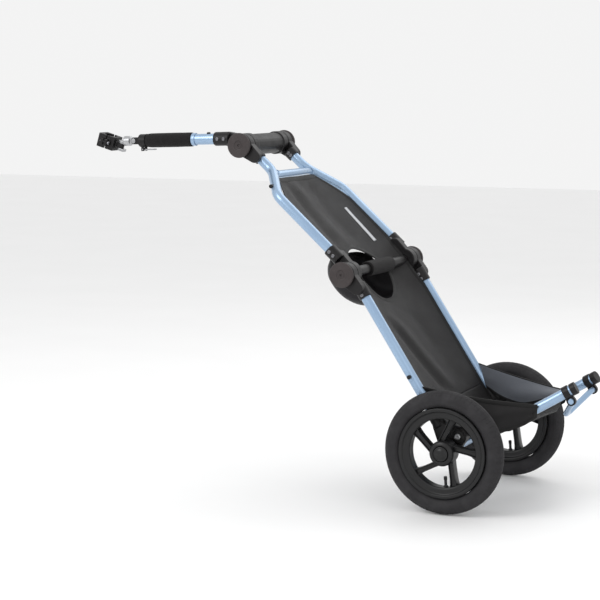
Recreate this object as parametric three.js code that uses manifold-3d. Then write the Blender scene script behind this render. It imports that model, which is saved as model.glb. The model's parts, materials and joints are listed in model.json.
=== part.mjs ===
// Folding two-wheel cargo trailer, in its towing position, held by its clamp on a bicycle's seat post.
// Millimetres, +Z up, +X towards the rear, +Y towards the trailer's right side.
// The origin is the middle of the seat-post clamp's bore.

import * as THREE from 'three';
import { mergeVertices } from 'three/addons/utils/BufferGeometryUtils.js';
import Module from 'manifold-3d';

const wasm = await Module();
wasm.setup();

// ---------------------------------------------------------------------------
// Driving dimensions
// ---------------------------------------------------------------------------

// Gaps between pieces: fixed neighbours, and pieces that turn or slide in each other.
const touchGap = 0.3;
const runningGap = 0.4;

// Wheels
const wheelDiameter = 300;
const tyreWidth = 45;
const tyreWall = 4;
const wheelClearance = 2;
const beadAngle = 40;
const rimDepth = 27;
const rimWidth = 44;
const wheelHubRadius = 31;
const wheelHubWidth = 50;
const spokeCount = 5;
const spokeWidth = 15;
const spokeDepth = 20;
const spokeLean = 17;
const spokeRoot = 8;
const spokeTurn = 9.5;
const hubButtonRadius = 18;
const hubButtonTravel = 4;

// Frame
const railRadius = 12.5;
const railWall = 1.8;
const railSpacing = 400;
const lowerRailAngle = 57;
const lowerRailReach = 421.5;
const railFootX = -32;
const railFootRise = 65;
const upperRailAngle = 42;
const upperRailReach = 446;
const hingeOffset = 12;
const topHingeOffset = 4;
const neckSpacing = 200;
const neckBendStart = 262;
const neckBendEnd = 345;
const neckBendRadius = 42;
const crossbarRadius = 10;
const crossbarPlace = 332;

// Axle and brackets
const axleTubeRadius = 11;
const axleRadius = 6;
const bracketInset = 10;
const bracketThickness = 26;
const bracketBossRadius = 21;
const socketWall = 4.2;

// Hinges
const hubRadius = 30;
const hubThickness = 24.5;
const armStart = 37;
const armEnd = 74;
const armWall = 4;
const shaftRadius = 8;
const shaftBore = 4.4;
const knobRadius = 31.5;
const knobThickness = 8;
const knobTravel = 4;
const knobStemLength = 12;

// Carry handle, on the shaft of the middle hinge
const handleRadius = 19;
const handleLength = 150;

// Tongue, on the left side
const tongueAngle = 2;
const tongueRise = 17;
const tongueRadius = 14;
const tongueWall = 2;
const tongueSocketStart = 40;
const tongueSocketEnd = 83;
const collarStart = 138;
const gripStart = 148;
const gripLength = 135;
const gripRadius = 18.5;
const snapButtonPlace = 102;
const snapButtonRadius = 5;
const barrelRadius = 27;

// Hitch
const pitchPinPlace = 314;
const hitchPinRadius = 4;
const hitchEarRadius = 9;
const linkRadius = 13;
const clampPlace = 396;
const seatPostRadius = 15.9;
const seatPostLean = 73.6;
const clampDepth = 48;
const clampWidth = 42;
const clampHeight = 36;
const clampSplit = 3;
const yawPinReach = 36;

// Load tray
const trayPivotX = 24;
const trayPivotRise = 35;
const trayHubRadius = 19;
const trayHubThickness = 16;
const forkCornerX = 172;
const forkCornerRise = 90;
const forkCornerHalfWidth = 104;
const forkTipX = 274;
const forkTipRise = 151;
const forkTipHalfWidth = 90;
const forkBendRadius = 90;
const forkSleeveStart = 23;
const forkSleeveEnd = 48;
const capLength = 10;
const trayFloorStart = 46;
const trayFloorEnd = 172;

// Folding stand under the tray
const standRodRadius = 7;
const standReach = 60;
const standAngle = 231;
const standClampBack = capLength + standRodRadius + 5;
const standDrop = railRadius + standRodRadius + 4.5;
const standFootHalfWidth = 12;

// Fabric
const fabricThickness = 3;
const panelSag = 22;
const handHoleRadius = 86;
const panelHingeGap = armStart + 1.6 * (railRadius + armWall) + 0.6;
const pouchInset = 80;

// ---------------------------------------------------------------------------
// Colours
// ---------------------------------------------------------------------------

const finish = {
  blueTube: { color: 0xa5c3e1, roughness: 0.35, metalness: 0.3 },
  blackPlastic: { color: 0x232022, roughness: 0.45, metalness: 0 },
  knob: { color: 0x4b4444, roughness: 0.6, metalness: 0 },
  foam: { color: 0x2a2829, roughness: 0.9, metalness: 0 },
  fabric: { color: 0x262426, roughness: 0.9, metalness: 0 },
  greyFabric: { color: 0x5f6269, roughness: 0.85, metalness: 0 },
  tyre: { color: 0x37343a, roughness: 0.85, metalness: 0 },
  steel: { color: 0x9a9c9e, roughness: 0.35, metalness: 0.9 },
};

// ---------------------------------------------------------------------------
// Small geometry tools
// ---------------------------------------------------------------------------

const radians = THREE.MathUtils.degToRad;
const vector = (x, y, z) => new THREE.Vector3(x, y, z);
const acrossAxis = vector(0, 1, 0);
const sides = [['left', -1], ['right', 1]];

// The direction in the XZ plane that is turned up by an angle from the rear (+X).
function direction(angle) {
  return vector(Math.cos(radians(angle)), 0, Math.sin(radians(angle)));
}

// A point moved by distances along directions: moved(point, distance, direction, ...).
function moved(point, ...steps) {
  const result = point.clone();
  for (let i = 0; i < steps.length; i += 2) result.addScaledVector(steps[i + 1], steps[i]);
  return result;
}

function toSolid(geometry) {
  const bare = geometry.index ? geometry.clone() : geometry;
  bare.deleteAttribute('normal');
  bare.deleteAttribute('uv');
  const merged = mergeVertices(bare, 1e-4);
  return new wasm.Manifold(new wasm.Mesh({
    numProp: 3,
    vertProperties: new Float32Array(merged.attributes.position.array),
    triVerts: new Uint32Array(merged.index.array),
  }));
}

function toGeometry(solid) {
  const mesh = solid.getMesh();
  const geometry = new THREE.BufferGeometry();
  geometry.setAttribute('position', new THREE.BufferAttribute(mesh.vertProperties, 3));
  geometry.setIndex(new THREE.BufferAttribute(mesh.triVerts, 1));
  geometry.computeVertexNormals();
  return geometry;
}

function join(...geometries) {
  return toGeometry(geometries.map(toSolid).reduce((whole, next) => whole.add(next)));
}

function cut(geometry, ...cutters) {
  return toGeometry(cutters.map(toSolid).reduce((whole, next) => whole.subtract(next), toSolid(geometry)));
}

function common(first, second) {
  return toGeometry(toSolid(first).intersect(toSolid(second)));
}

// A round bar between two points.
function bar(start, end, radius, segments = 16) {
  const geometry = new THREE.CylinderGeometry(radius, radius, start.distanceTo(end), segments);
  const along = end.clone().sub(start).normalize();
  geometry.applyQuaternion(new THREE.Quaternion().setFromUnitVectors(acrossAxis, along));
  const middle = start.clone().add(end).multiplyScalar(0.5);
  return geometry.translate(middle.x, middle.y, middle.z);
}

// A round bar along Y at a place in the XZ plane, between two values of y.
function crossBar(place, yLow, yHigh, radius, segments = 24) {
  return bar(vector(place.x, yLow, place.z), vector(place.x, yHigh, place.z), radius, segments);
}

// A round bar along Y on one side, between two distances from the middle plane.
function sideBar(place, side, near, far, radius, segments = 24) {
  const [yLow, yHigh] = [side * near, side * far].sort((a, b) => a - b);
  return crossBar(place, yLow, yHigh, radius, segments);
}

// The cutter for a round hole: its flats, not its corners, lie at the radius, so a bar of that radius fits.
function hole(start, end, radius, segments = 16) {
  return bar(start, end, radius / Math.cos(Math.PI / segments), segments);
}

function crossHole(place, yLow, yHigh, radius, segments = 16) {
  return hole(vector(place.x, yLow, place.z), vector(place.x, yHigh, place.z), radius, segments);
}

function sideHole(place, side, near, far, radius, segments = 16) {
  const [yLow, yHigh] = [side * near, side * far].sort((a, b) => a - b);
  return crossHole(place, yLow, yHigh, radius, segments);
}

function sleeve(start, end, outerRadius, innerRadius, segments = 16) {
  const beyond = end.clone().sub(start).normalize();
  return cut(
    bar(start, end, outerRadius, segments),
    hole(moved(start, -1, beyond), moved(end, 1, beyond), innerRadius, segments),
  );
}

// A path of straight runs with round bends at its corners, with one knot for each step of the sweep.
class BentPath extends THREE.Curve {
  constructor(corners, bendRadius, stepsPerBend = 4) {
    super();
    this.knots = [corners[0]];
    this.directions = [corners[1].clone().sub(corners[0]).normalize()];
    for (let i = 1; i < corners.length - 1; i += 1) {
      const before = corners[i].clone().sub(corners[i - 1]).normalize();
      const after = corners[i + 1].clone().sub(corners[i]).normalize();
      const turn = before.angleTo(after);
      const trim = bendRadius * Math.tan(turn / 2);
      const inward = after.clone().sub(before).normalize();
      const centre = moved(corners[i], bendRadius / Math.cos(turn / 2), inward);
      const first = moved(corners[i], -trim, before).sub(centre);
      const axis = before.clone().cross(after).normalize();
      for (let k = 0; k <= stepsPerBend; k += 1) {
        const angle = (turn * k) / stepsPerBend;
        this.knots.push(first.clone().applyAxisAngle(axis, angle).add(centre));
        this.directions.push(before.clone().applyAxisAngle(axis, angle));
      }
    }
    this.knots.push(corners[corners.length - 1]);
    this.directions.push(corners[corners.length - 1].clone().sub(corners[corners.length - 2]).normalize());
  }

  knotAt(u) {
    return Math.round(u * (this.knots.length - 1));
  }

  getPointAt(u) {
    return this.knots[this.knotAt(u)].clone();
  }

  getTangentAt(u, target = vector(0, 0, 0)) {
    return target.copy(this.directions[this.knotAt(u)]);
  }
}

function circle(radius, x = 0, y = 0) {
  return new THREE.Shape().absarc(x, y, radius, 0, 2 * Math.PI, false);
}

// A tube or, with no inner radius, a rod swept along a bent path.
function bentTube(path, radius, innerRadius = 0, sidesAround = 12) {
  const section = circle(radius);
  if (innerRadius > 0) section.holes.push(new THREE.Path().absarc(0, 0, innerRadius, 0, 2 * Math.PI, true));
  return new THREE.ExtrudeGeometry(section, {
    steps: path.knots.length - 1,
    extrudePath: path,
    curveSegments: sidesAround / 2,
  });
}

// A flat shape drawn with x and z, given a thickness between two values of y.
function plate(shape, yLow, yHigh, curveSegments = 9) {
  const settings = { depth: yHigh - yLow, bevelEnabled: false, curveSegments };
  const geometry = new THREE.ExtrudeGeometry(shape, settings);
  return geometry.rotateX(Math.PI / 2).translate(0, yHigh, 0);
}

function sidePlate(shape, side, near, far) {
  return plate(shape, Math.min(side * near, side * far), Math.max(side * near, side * far));
}

function polygon(points) {
  return new THREE.Shape(points.map(([x, y]) => new THREE.Vector2(x, y)));
}

// The outline of a tapered strap: two circles and their straight sides, in x and z.
function strap(first, firstRadius, second, secondRadius) {
  const along = second.clone().sub(first);
  const lean = Math.atan2(along.z, along.x);
  const spread = Math.acos((firstRadius - secondRadius) / along.length());
  const shape = new THREE.Shape();
  shape.absarc(first.x, first.z, firstRadius, lean + spread, lean - spread + 2 * Math.PI, false);
  shape.absarc(second.x, second.z, secondRadius, lean - spread, lean + spread, false);
  return shape;
}

// Geometry drawn in a local frame, moved so that its X, Y and Z lie along three directions at an origin.
function inFrame(geometry, origin, xAxis, yAxis, zAxis) {
  const matrix = new THREE.Matrix4().makeBasis(xAxis, yAxis, zAxis).setPosition(origin);
  return geometry.applyMatrix4(matrix);
}

const pieces = new THREE.Group();

function addPiece(name, geometry, look) {
  const mesh = new THREE.Mesh(geometry, new THREE.MeshStandardMaterial(look));
  mesh.name = name;
  pieces.add(mesh);
  return mesh;
}

// ---------------------------------------------------------------------------
// Main places, all from the point on the ground below the axle
// ---------------------------------------------------------------------------

const railHalf = railSpacing / 2;
const bracketInner = railHalf - bracketInset;
const bracketOuter = bracketInner + bracketThickness;
const wheelHalf = bracketOuter + wheelClearance + wheelHubWidth / 2;
const tyreRadius = tyreWidth / 2;
const tyreCentreRadius = wheelDiameter / 2 - tyreRadius;
const beadRadius = tyreCentreRadius - tyreRadius * Math.cos(radians(beadAngle));
const rimFlangeRadius = beadRadius - touchGap;
const rimInnerRadius = rimFlangeRadius - rimDepth;
const pouchHalfWidth = railHalf - pouchInset;
const neckHalf = neckSpacing / 2;
const axle = vector(0, 0, wheelDiameter / 2);

// For each run of the frame: its direction, and the direction square to it towards the front.
const lowerAlong = direction(180 - lowerRailAngle);
const lowerFront = direction(270 - lowerRailAngle);
const upperAlong = direction(180 - upperRailAngle);
const upperFront = direction(270 - upperRailAngle);
const tongueAlong = direction(180 + tongueAngle);
const tongueUp = direction(90 + tongueAngle);

const railFoot = moved(axle, railFootX, vector(1, 0, 0), railFootRise, vector(0, 0, 1));
const midHinge = moved(railFoot, lowerRailReach, lowerAlong, hingeOffset, lowerFront);

function lowerPoint(distance, y) {
  return moved(railFoot, distance, lowerAlong).setY(y);
}

function upperPoint(distance, y) {
  return moved(midHinge, -hingeOffset, upperFront, distance, upperAlong).setY(y);
}

const topHinge = moved(upperPoint(upperRailReach, 0), topHingeOffset, upperFront);

function tonguePoint(distance, rise = 0, y = -neckHalf) {
  return moved(topHinge, tongueRise + rise, tongueUp, distance, tongueAlong).setY(y);
}

const clampCentre = tonguePoint(clampPlace);

// ---------------------------------------------------------------------------
// Rails
// ---------------------------------------------------------------------------

const railBore = railRadius - railWall;
const railOverlap = 8;
const lowerRailTop = lowerRailReach - armStart - 4;
const upperRailBottom = armStart + 4;
const upperRailTop = upperRailReach - armStart - 4;

function upperRailPath(side) {
  return new BentPath([
    upperPoint(upperRailBottom, side * railHalf),
    upperPoint(neckBendStart, side * railHalf),
    upperPoint(neckBendEnd, side * neckHalf),
    upperPoint(upperRailTop, side * neckHalf),
  ], neckBendRadius);
}

for (const [sideName, side] of sides) {
  const lowerPath = new BentPath([
    lowerPoint(-railOverlap, side * railHalf),
    lowerPoint(lowerRailTop, side * railHalf),
  ], 1);
  addPiece(`lower_rail_${sideName}`, bentTube(lowerPath, railRadius, railBore), finish.blueTube);
  addPiece(`upper_rail_${sideName}`, bentTube(upperRailPath(side), railRadius, railBore), finish.blueTube);
}

// The crossbar is coped to the two rails where they lean together.
const crossbarCentre = upperPoint(crossbarPlace, 0);
const leanPerStep = (railHalf - neckHalf) / (neckBendEnd - neckBendStart);
const crossbarHalf = railHalf - (crossbarPlace - neckBendStart) * leanPerStep;
addPiece('crossbar', cut(
  crossBar(crossbarCentre, -crossbarHalf, crossbarHalf, crossbarRadius, 20),
  bentTube(upperRailPath(-1), railRadius + touchGap),
  bentTube(upperRailPath(1), railRadius + touchGap),
), finish.blueTube);

// ---------------------------------------------------------------------------
// Hinge halves: a hub with a neck and a sleeve that takes the end of a tube
// ---------------------------------------------------------------------------

// hub: centre in XZ; near, far: the hub's distances from the middle plane; axisPoint: a function that gives
// the tube's axis at a distance from the hub.
function hingeHalf({ hub, side, near, far, tubeRadius, axisPoint, start, end, tubeEnd }) {
  const outer = tubeRadius + armWall;
  const sleeveStart = axisPoint(start);
  const neck = strap(hub, hubRadius - 6, axisPoint(start + outer * 0.6).setY(0), outer - 1);
  const whole = join(
    sideBar(hub, side, near, far, hubRadius),
    sidePlate(neck, side, near, far),
    bar(sleeveStart, axisPoint(end), outer),
  );
  const depth = axisPoint(tubeEnd - touchGap);
  return cut(
    whole,
    hole(depth, axisPoint(end + outer), tubeRadius + touchGap),
    sideHole(hub, side, near - 2, far + 2, shaftRadius + runningGap),
  );
}

// The middle hinge's outer halves are on the lower rails, and its inner halves on the upper rails.
const outerHubNear = railHalf + 0.5;
const outerHubFar = outerHubNear + hubThickness;
const innerHubFar = railHalf - 0.5;
const innerHubNear = innerHubFar - hubThickness;

for (const [sideName, side] of sides) {
  addPiece(`lower_knuckle_${sideName}`, hingeHalf({
    hub: midHinge,
    side,
    near: outerHubNear,
    far: outerHubFar,
    tubeRadius: railRadius,
    axisPoint: (distance) => lowerPoint(lowerRailReach - distance, side * railHalf),
    start: armStart,
    end: armEnd,
    tubeEnd: lowerRailReach - lowerRailTop,
  }), finish.blackPlastic);
  addPiece(`upper_knuckle_${sideName}`, hingeHalf({
    hub: midHinge,
    side,
    near: innerHubNear,
    far: innerHubFar,
    tubeRadius: railRadius,
    axisPoint: (distance) => upperPoint(distance, side * railHalf),
    start: armStart,
    end: armEnd,
    tubeEnd: upperRailBottom,
  }), finish.blackPlastic);
}

// The top hinge's outer halves are on the upper rails. The tongue's socket and the barrel lie between them.
const topHubNear = neckHalf + 0.5;
const topHubFar = topHubNear + hubThickness;
const topArmEnd = 58;

for (const [sideName, side] of sides) {
  addPiece(`top_knuckle_${sideName}`, hingeHalf({
    hub: topHinge,
    side,
    near: topHubNear,
    far: topHubFar,
    tubeRadius: railRadius,
    axisPoint: (distance) => upperPoint(upperRailReach - distance, side * neckHalf),
    start: armStart,
    end: topArmEnd,
    tubeEnd: upperRailReach - upperRailTop,
  }), finish.blackPlastic);
}

const tongueEnd = pitchPinPlace - hitchEarRadius - 5;
const socketHubFar = neckHalf - 0.5;
const socketHubNear = socketHubFar - hubThickness;
addPiece('tongue_socket', hingeHalf({
  hub: topHinge,
  side: -1,
  near: socketHubNear,
  far: socketHubFar,
  tubeRadius: tongueRadius,
  axisPoint: (distance) => tonguePoint(distance),
  start: tongueSocketStart,
  end: tongueSocketEnd,
  tubeEnd: tongueSocketStart + 4,
}), finish.blackPlastic);

// The barrel turns with the tongue, and its right end is the hub of the right knuckle.
addPiece('top_barrel', cut(
  join(
    crossBar(topHinge, -socketHubNear + touchGap, socketHubFar - hubThickness, barrelRadius),
    crossBar(topHinge, socketHubFar - hubThickness - 1, socketHubFar, hubRadius),
  ),
  crossHole(topHinge, -socketHubFar, socketHubFar + 2, shaftRadius + runningGap),
), finish.blackPlastic);

// ---------------------------------------------------------------------------
// Hinge shafts, carry handle and release knobs
// ---------------------------------------------------------------------------

const shaftInset = 1;
addPiece('mid_hinge_shaft', sleeve(
  vector(midHinge.x, -outerHubFar + shaftInset, midHinge.z),
  vector(midHinge.x, outerHubFar - shaftInset, midHinge.z),
  shaftRadius,
  shaftBore,
), finish.steel);
addPiece('top_hinge_shaft', sleeve(
  vector(topHinge.x, -topHubFar + shaftInset, topHinge.z),
  vector(topHinge.x, topHubFar - shaftInset, topHinge.z),
  shaftRadius,
  shaftBore,
), finish.steel);

addPiece('carry_handle', sleeve(
  vector(midHinge.x, -handleLength / 2, midHinge.z),
  vector(midHinge.x, handleLength / 2, midHinge.z),
  handleRadius,
  shaftRadius + touchGap,
), finish.foam);

// A knob is a dished disc with a stem that slides in the shaft's bore.
function knobProfile() {
  const stemRadius = shaftBore - runningGap;
  const points = [
    [0, -knobStemLength],
    [stemRadius, -knobStemLength],
    [stemRadius, 0],
    [knobRadius - 2, 0],
    [knobRadius, 2],
    [knobRadius, knobThickness - 2],
    [knobRadius - 2, knobThickness],
    [11, knobThickness],
    [9, knobThickness - 2.5],
    [0, knobThickness - 2.5],
  ];
  return points.map(([x, y]) => new THREE.Vector2(x, y));
}

function addKnob(name, place, side, hubFar) {
  const knob = addPiece(name, new THREE.LatheGeometry(knobProfile(), 24), finish.knob);
  knob.position.set(place.x, side * (hubFar + knobTravel + 0.5), place.z);
  if (side < 0) knob.rotation.x = Math.PI;
}

for (const [sideName, side] of sides) {
  addKnob(`mid_knob_${sideName}`, midHinge, side, outerHubFar);
  addKnob(`top_knob_${sideName}`, topHinge, side, topHubFar);
}

// ---------------------------------------------------------------------------
// Axle, brackets and the bosses that bags hook on
// ---------------------------------------------------------------------------

const trayPivot = moved(axle, trayPivotX, vector(1, 0, 0), trayPivotRise, vector(0, 0, 1));
const wheelHubOuter = wheelHalf + wheelHubWidth / 2;
const axleEnd = wheelHubOuter - 12;
const pivotPinRadius = 5;
const bracketSocketEnd = 24;
const bracketWebInset = 3;

addPiece('axle', crossBar(axle, -axleEnd, axleEnd, axleRadius, 12), finish.steel);
addPiece('axle_tube', sleeve(
  vector(axle.x, -bracketInner + touchGap, axle.z),
  vector(axle.x, bracketInner - touchGap, axle.z),
  axleTubeRadius,
  axleRadius + touchGap,
), finish.blueTube);

for (const [sideName, side] of sides) {
  const railEnd = lowerPoint(-railOverlap - 4, side * railHalf);
  const socketFloor = lowerPoint(-railOverlap - touchGap, side * railHalf);
  const socketRadius = railRadius + socketWall;
  const web = [
    strap(axle, bracketBossRadius, trayPivot, bracketBossRadius),
    strap(axle, bracketBossRadius, railEnd, socketRadius - 1),
    strap(trayPivot, bracketBossRadius - 3, railEnd, socketRadius - 3),
  ];
  const solid = join(
    ...web.map((shape) => sidePlate(shape, side, bracketInner, bracketOuter - bracketWebInset)),
    sideBar(axle, side, bracketInner, bracketOuter, bracketBossRadius - 4),
    sideBar(trayPivot, side, bracketInner, bracketOuter, bracketBossRadius - 5),
    bar(railEnd, lowerPoint(bracketSocketEnd, side * railHalf), socketRadius),
    sideBar(trayPivot, side, bracketInner - trayHubThickness - 3, bracketInner + 1, pivotPinRadius, 12),
  );
  addPiece(`axle_bracket_${sideName}`, cut(
    solid,
    hole(socketFloor, lowerPoint(bracketSocketEnd + 2, side * railHalf), railRadius + touchGap),
    sideHole(axle, side, bracketInner - 2, bracketOuter + 2, axleRadius + touchGap, 12),
  ), finish.blackPlastic);
}

// Bosses are short studs on the outer sides of the rails, shaped to the tube.
const bossRadius = 5;
const bossReach = 9;
const lowerBossPlace = 126;
const upperBossPlace = 296;
const upperBossY = railHalf - (upperBossPlace - neckBendStart) * leanPerStep;
const leanFactor = Math.hypot(1, leanPerStep);

for (const [sideName, side] of sides) {
  const lowerRoot = lowerPoint(lowerBossPlace, 0);
  addPiece(`lower_boss_${sideName}`, cut(
    sideBar(lowerRoot, side, railHalf + railRadius - 3, railHalf + railRadius + bossReach, bossRadius, 16),
    hole(
      lowerPoint(lowerBossPlace - 30, side * railHalf),
      lowerPoint(lowerBossPlace + 30, side * railHalf),
      railRadius + touchGap,
    ),
  ), finish.blackPlastic);
  const upperRoot = upperPoint(upperBossPlace, 0);
  const surface = upperBossY + railRadius * leanFactor;
  addPiece(`upper_boss_${sideName}`, cut(
    sideBar(upperRoot, side, surface - 8, surface + bossReach, bossRadius, 16),
    bentTube(upperRailPath(side), railRadius + touchGap),
  ), finish.blackPlastic);
}

// ---------------------------------------------------------------------------
// Wheels
// ---------------------------------------------------------------------------

const tyreSteps = 8;
const segmentsRound = 40;

// The tyre's section is an open ring with its gap towards the axle.
function tyreProfile() {
  const points = [];
  const start = radians(-180 + beadAngle);
  const sweep = radians(360 - 2 * beadAngle);
  for (let i = 0; i <= tyreSteps; i += 1) {
    const angle = start + (sweep * i) / tyreSteps;
    const rise = tyreRadius * Math.cos(angle);
    points.push(new THREE.Vector2(tyreCentreRadius + rise, tyreRadius * Math.sin(angle)));
  }
  for (let i = tyreSteps; i >= 0; i -= 2) {
    const angle = start + (sweep * i) / tyreSteps;
    const radius = tyreRadius - tyreWall;
    points.push(new THREE.Vector2(tyreCentreRadius + radius * Math.cos(angle), radius * Math.sin(angle)));
  }
  points.push(points[0].clone());
  return points;
}

// The tyre's beads sit on the rim's two shoulders, on either side of its well.
function rimProfile() {
  const half = rimWidth / 2;
  const points = [
    [rimInnerRadius, -half + 6],
    [rimFlangeRadius - 5, -half],
    [rimFlangeRadius, -half + 4],
    [rimFlangeRadius, -half + 13],
    [rimFlangeRadius - 10, -half + 16],
    [rimFlangeRadius - 10, half - 16],
    [rimFlangeRadius, half - 13],
    [rimFlangeRadius, half - 4],
    [rimFlangeRadius - 5, half],
    [rimInnerRadius, half - 6],
    [rimInnerRadius, -half + 6],
  ];
  return points.map(([x, y]) => new THREE.Vector2(x, y));
}

// Five straight spokes leave the hub off centre, so that they all lean the same way round.
function wheelGeometry(side) {
  const hub = new THREE.CylinderGeometry(wheelHubRadius, wheelHubRadius, wheelHubWidth, 24);
  const rim = new THREE.LatheGeometry(rimProfile(), segmentsRound);
  const spokes = [];
  for (let i = 0; i < spokeCount; i += 1) {
    const length = rimInnerRadius + 3 - spokeRoot;
    const spoke = new THREE.BoxGeometry(length, spokeDepth, spokeWidth);
    spoke.translate(spokeRoot + length / 2, 0, -side * spokeLean);
    spoke.rotateY((2 * Math.PI * i) / spokeCount + radians(spokeTurn));
    spokes.push(spoke);
  }
  const boreRadius = axleRadius + runningGap;
  const bore = new THREE.CylinderGeometry(boreRadius, boreRadius, wheelHubWidth + 4, 12);
  const recessDepth = 12;
  const recessRadius = hubButtonRadius + runningGap;
  const recess = new THREE.CylinderGeometry(recessRadius, recessRadius, recessDepth, 20);
  recess.translate(0, side * (wheelHubWidth / 2 - recessDepth / 2 + 0.5), 0);
  return cut(join(hub, rim, ...spokes), bore, recess);
}

// The domed button in the middle of the hub frees the wheel when it is pressed.
function hubButtonProfile() {
  const domeRise = 7;
  const points = [new THREE.Vector2(0, 0), new THREE.Vector2(hubButtonRadius, 0)];
  const domeSteps = 3;
  for (let i = 0; i <= domeSteps; i += 1) {
    const angle = (Math.PI / 2) * (i / domeSteps);
    const rise = domeRise * Math.sin(angle);
    points.push(new THREE.Vector2(hubButtonRadius * Math.cos(angle), 3 + rise));
  }
  points[points.length - 1].x = 0;
  return points;
}

for (const [sideName, side] of sides) {
  const wheel = new THREE.Group();
  wheel.position.set(axle.x, side * wheelHalf, axle.z);
  pieces.add(wheel);
  const tyreGeometry = new THREE.LatheGeometry(tyreProfile(), segmentsRound);
  const tyre = addPiece(`tyre_${sideName}`, tyreGeometry, finish.tyre);
  const rim = addPiece(`wheel_${sideName}`, wheelGeometry(side), finish.blackPlastic);
  const buttonGeometry = new THREE.LatheGeometry(hubButtonProfile(), 20);
  const button = addPiece(`hub_button_${sideName}`, buttonGeometry, finish.blackPlastic);
  button.position.y = side * (wheelHubWidth / 2 - 6);
  if (side < 0) button.rotation.x = Math.PI;
  wheel.add(tyre, rim, button);
}

// ---------------------------------------------------------------------------
// Tongue
// ---------------------------------------------------------------------------

const gripEnd = gripStart + gripLength;
const collarRadius = tongueRadius + 2.5;
const buttonHole = hole(
  tonguePoint(snapButtonPlace, tongueRadius - tongueWall - 4),
  tonguePoint(snapButtonPlace, tongueRadius + 4),
  snapButtonRadius + runningGap,
);
addPiece('tongue_tube', cut(
  join(
    bar(tonguePoint(tongueSocketStart + 4), tonguePoint(tongueEnd), tongueRadius),
    bar(tonguePoint(collarStart), tonguePoint(gripStart - touchGap), collarRadius),
  ),
  bar(tonguePoint(tongueSocketStart), tonguePoint(tongueEnd + 4), tongueRadius - tongueWall),
  buttonHole,
), finish.blueTube);

addPiece('tongue_grip', sleeve(
  tonguePoint(gripStart),
  tonguePoint(gripEnd),
  gripRadius,
  tongueRadius + touchGap,
), finish.foam);

addPiece('snap_button', bar(
  tonguePoint(snapButtonPlace, 4),
  tonguePoint(snapButtonPlace, tongueRadius + 4),
  snapButtonRadius,
  16,
), finish.blackPlastic);

// ---------------------------------------------------------------------------
// Hitch: yoke on the tongue, link, and the clamp on the seat post
// ---------------------------------------------------------------------------

const earInner = 8.6;
const earThickness = 8;
const earOuter = earInner + earThickness;
const pitchPin = tonguePoint(pitchPinPlace, 0, 0);
const yokeStart = gripEnd + touchGap;
const sleeveOuter = tongueRadius + 3;
const leverPivotPlace = yokeStart + 9;
const leverDrop = sleeveOuter + 6;
const leverPinRadius = 2;
const leverHalfWidth = 6;
const leverPivot = tonguePoint(leverPivotPlace, -leverDrop);

function tongueBlock(from, to, low, high, yLow, yHigh) {
  const block = new THREE.BoxGeometry(to - from, yHigh - yLow, high - low);
  block.translate((from + to) / 2, (yLow + yHigh) / 2, (low + high) / 2);
  return inFrame(block, tonguePoint(0), tongueAlong, acrossAxis.clone().negate(), tongueUp);
}

const yokeEars = [-1, 1].map((ear) => {
  const yLow = -neckHalf + (ear < 0 ? -earOuter : earInner);
  return join(
    crossBar(pitchPin, yLow, yLow + earThickness, hitchEarRadius, 16),
    tongueBlock(tongueEnd + 1, pitchPinPlace, -hitchEarRadius, hitchEarRadius,
      ear < 0 ? earInner : -earOuter, ear < 0 ? earOuter : -earInner),
  );
});
const leverEars = [-1, 1].map((ear) => {
  const low = ear < 0 ? -leverHalfWidth - runningGap - 4 : leverHalfWidth + runningGap;
  return tongueBlock(
    leverPivotPlace - 4,
    leverPivotPlace + 4,
    -leverDrop - 4,
    -sleeveOuter + 4,
    low,
    low + 4,
  );
});
addPiece('hitch_yoke', cut(
  join(
    bar(tonguePoint(yokeStart), tonguePoint(tongueEnd + touchGap + 2), sleeveOuter),
    ...yokeEars,
    ...leverEars,
  ),
  hole(tonguePoint(yokeStart - 2), tonguePoint(tongueEnd + touchGap), tongueRadius + touchGap),
  crossHole(pitchPin, -neckHalf - earOuter - 2, -neckHalf + earOuter + 2, hitchPinRadius + touchGap, 12),
  crossHole(leverPivot, -neckHalf - 20, -neckHalf + 20, leverPinRadius + runningGap, 12),
), finish.blackPlastic);

addPiece('pitch_pin', join(
  crossBar(pitchPin, -neckHalf - earOuter - 2, -neckHalf + earOuter + 2, hitchPinRadius, 12),
  crossBar(pitchPin, -neckHalf - earOuter - 3.5, -neckHalf - earOuter - touchGap, hitchPinRadius + 2.5, 12),
), finish.steel);

// The release lever hangs under the front of the grip, on a small pin of its own.
const leverLength = 34;
addPiece('release_lever', join(
  crossBar(leverPivot, -neckHalf - leverHalfWidth - 4, -neckHalf + leverHalfWidth + 4, leverPinRadius, 12),
  crossBar(leverPivot, -neckHalf - leverHalfWidth, -neckHalf + leverHalfWidth, 3.6, 16),
  tongueBlock(leverPivotPlace - leverLength, leverPivotPlace, -leverDrop - 2, -leverDrop + 1.5,
    -leverHalfWidth, leverHalfWidth),
), finish.steel);

// The clamp's own frame: towards the rear, across, and up along the leaning post.
const postUp = direction(seatPostLean);
const postRear = direction(seatPostLean - 90);

function clampBlock(rearLow, rearHigh, yLow, yHigh, low, high) {
  const block = new THREE.BoxGeometry(rearHigh - rearLow, yHigh - yLow, high - low);
  block.translate((rearLow + rearHigh) / 2, (yLow + yHigh) / 2, (low + high) / 2);
  return inFrame(block, clampCentre, postRear, acrossAxis, postUp);
}

function clampPoint(rear, y, up) {
  return moved(clampCentre, rear, postRear, y, acrossAxis, up, postUp);
}

const yawPin = clampPoint(yawPinReach, 0, 0);
const lugHalf = 6;
const yawEarThickness = 7;
const yawEarInner = lugHalf + runningGap;
const linkStart = pitchPinPlace + 17;
const tongueEarHalf = earInner - runningGap;
const linkAxisEnd = tonguePoint(clampPlace - yawPinReach - 11);

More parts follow.
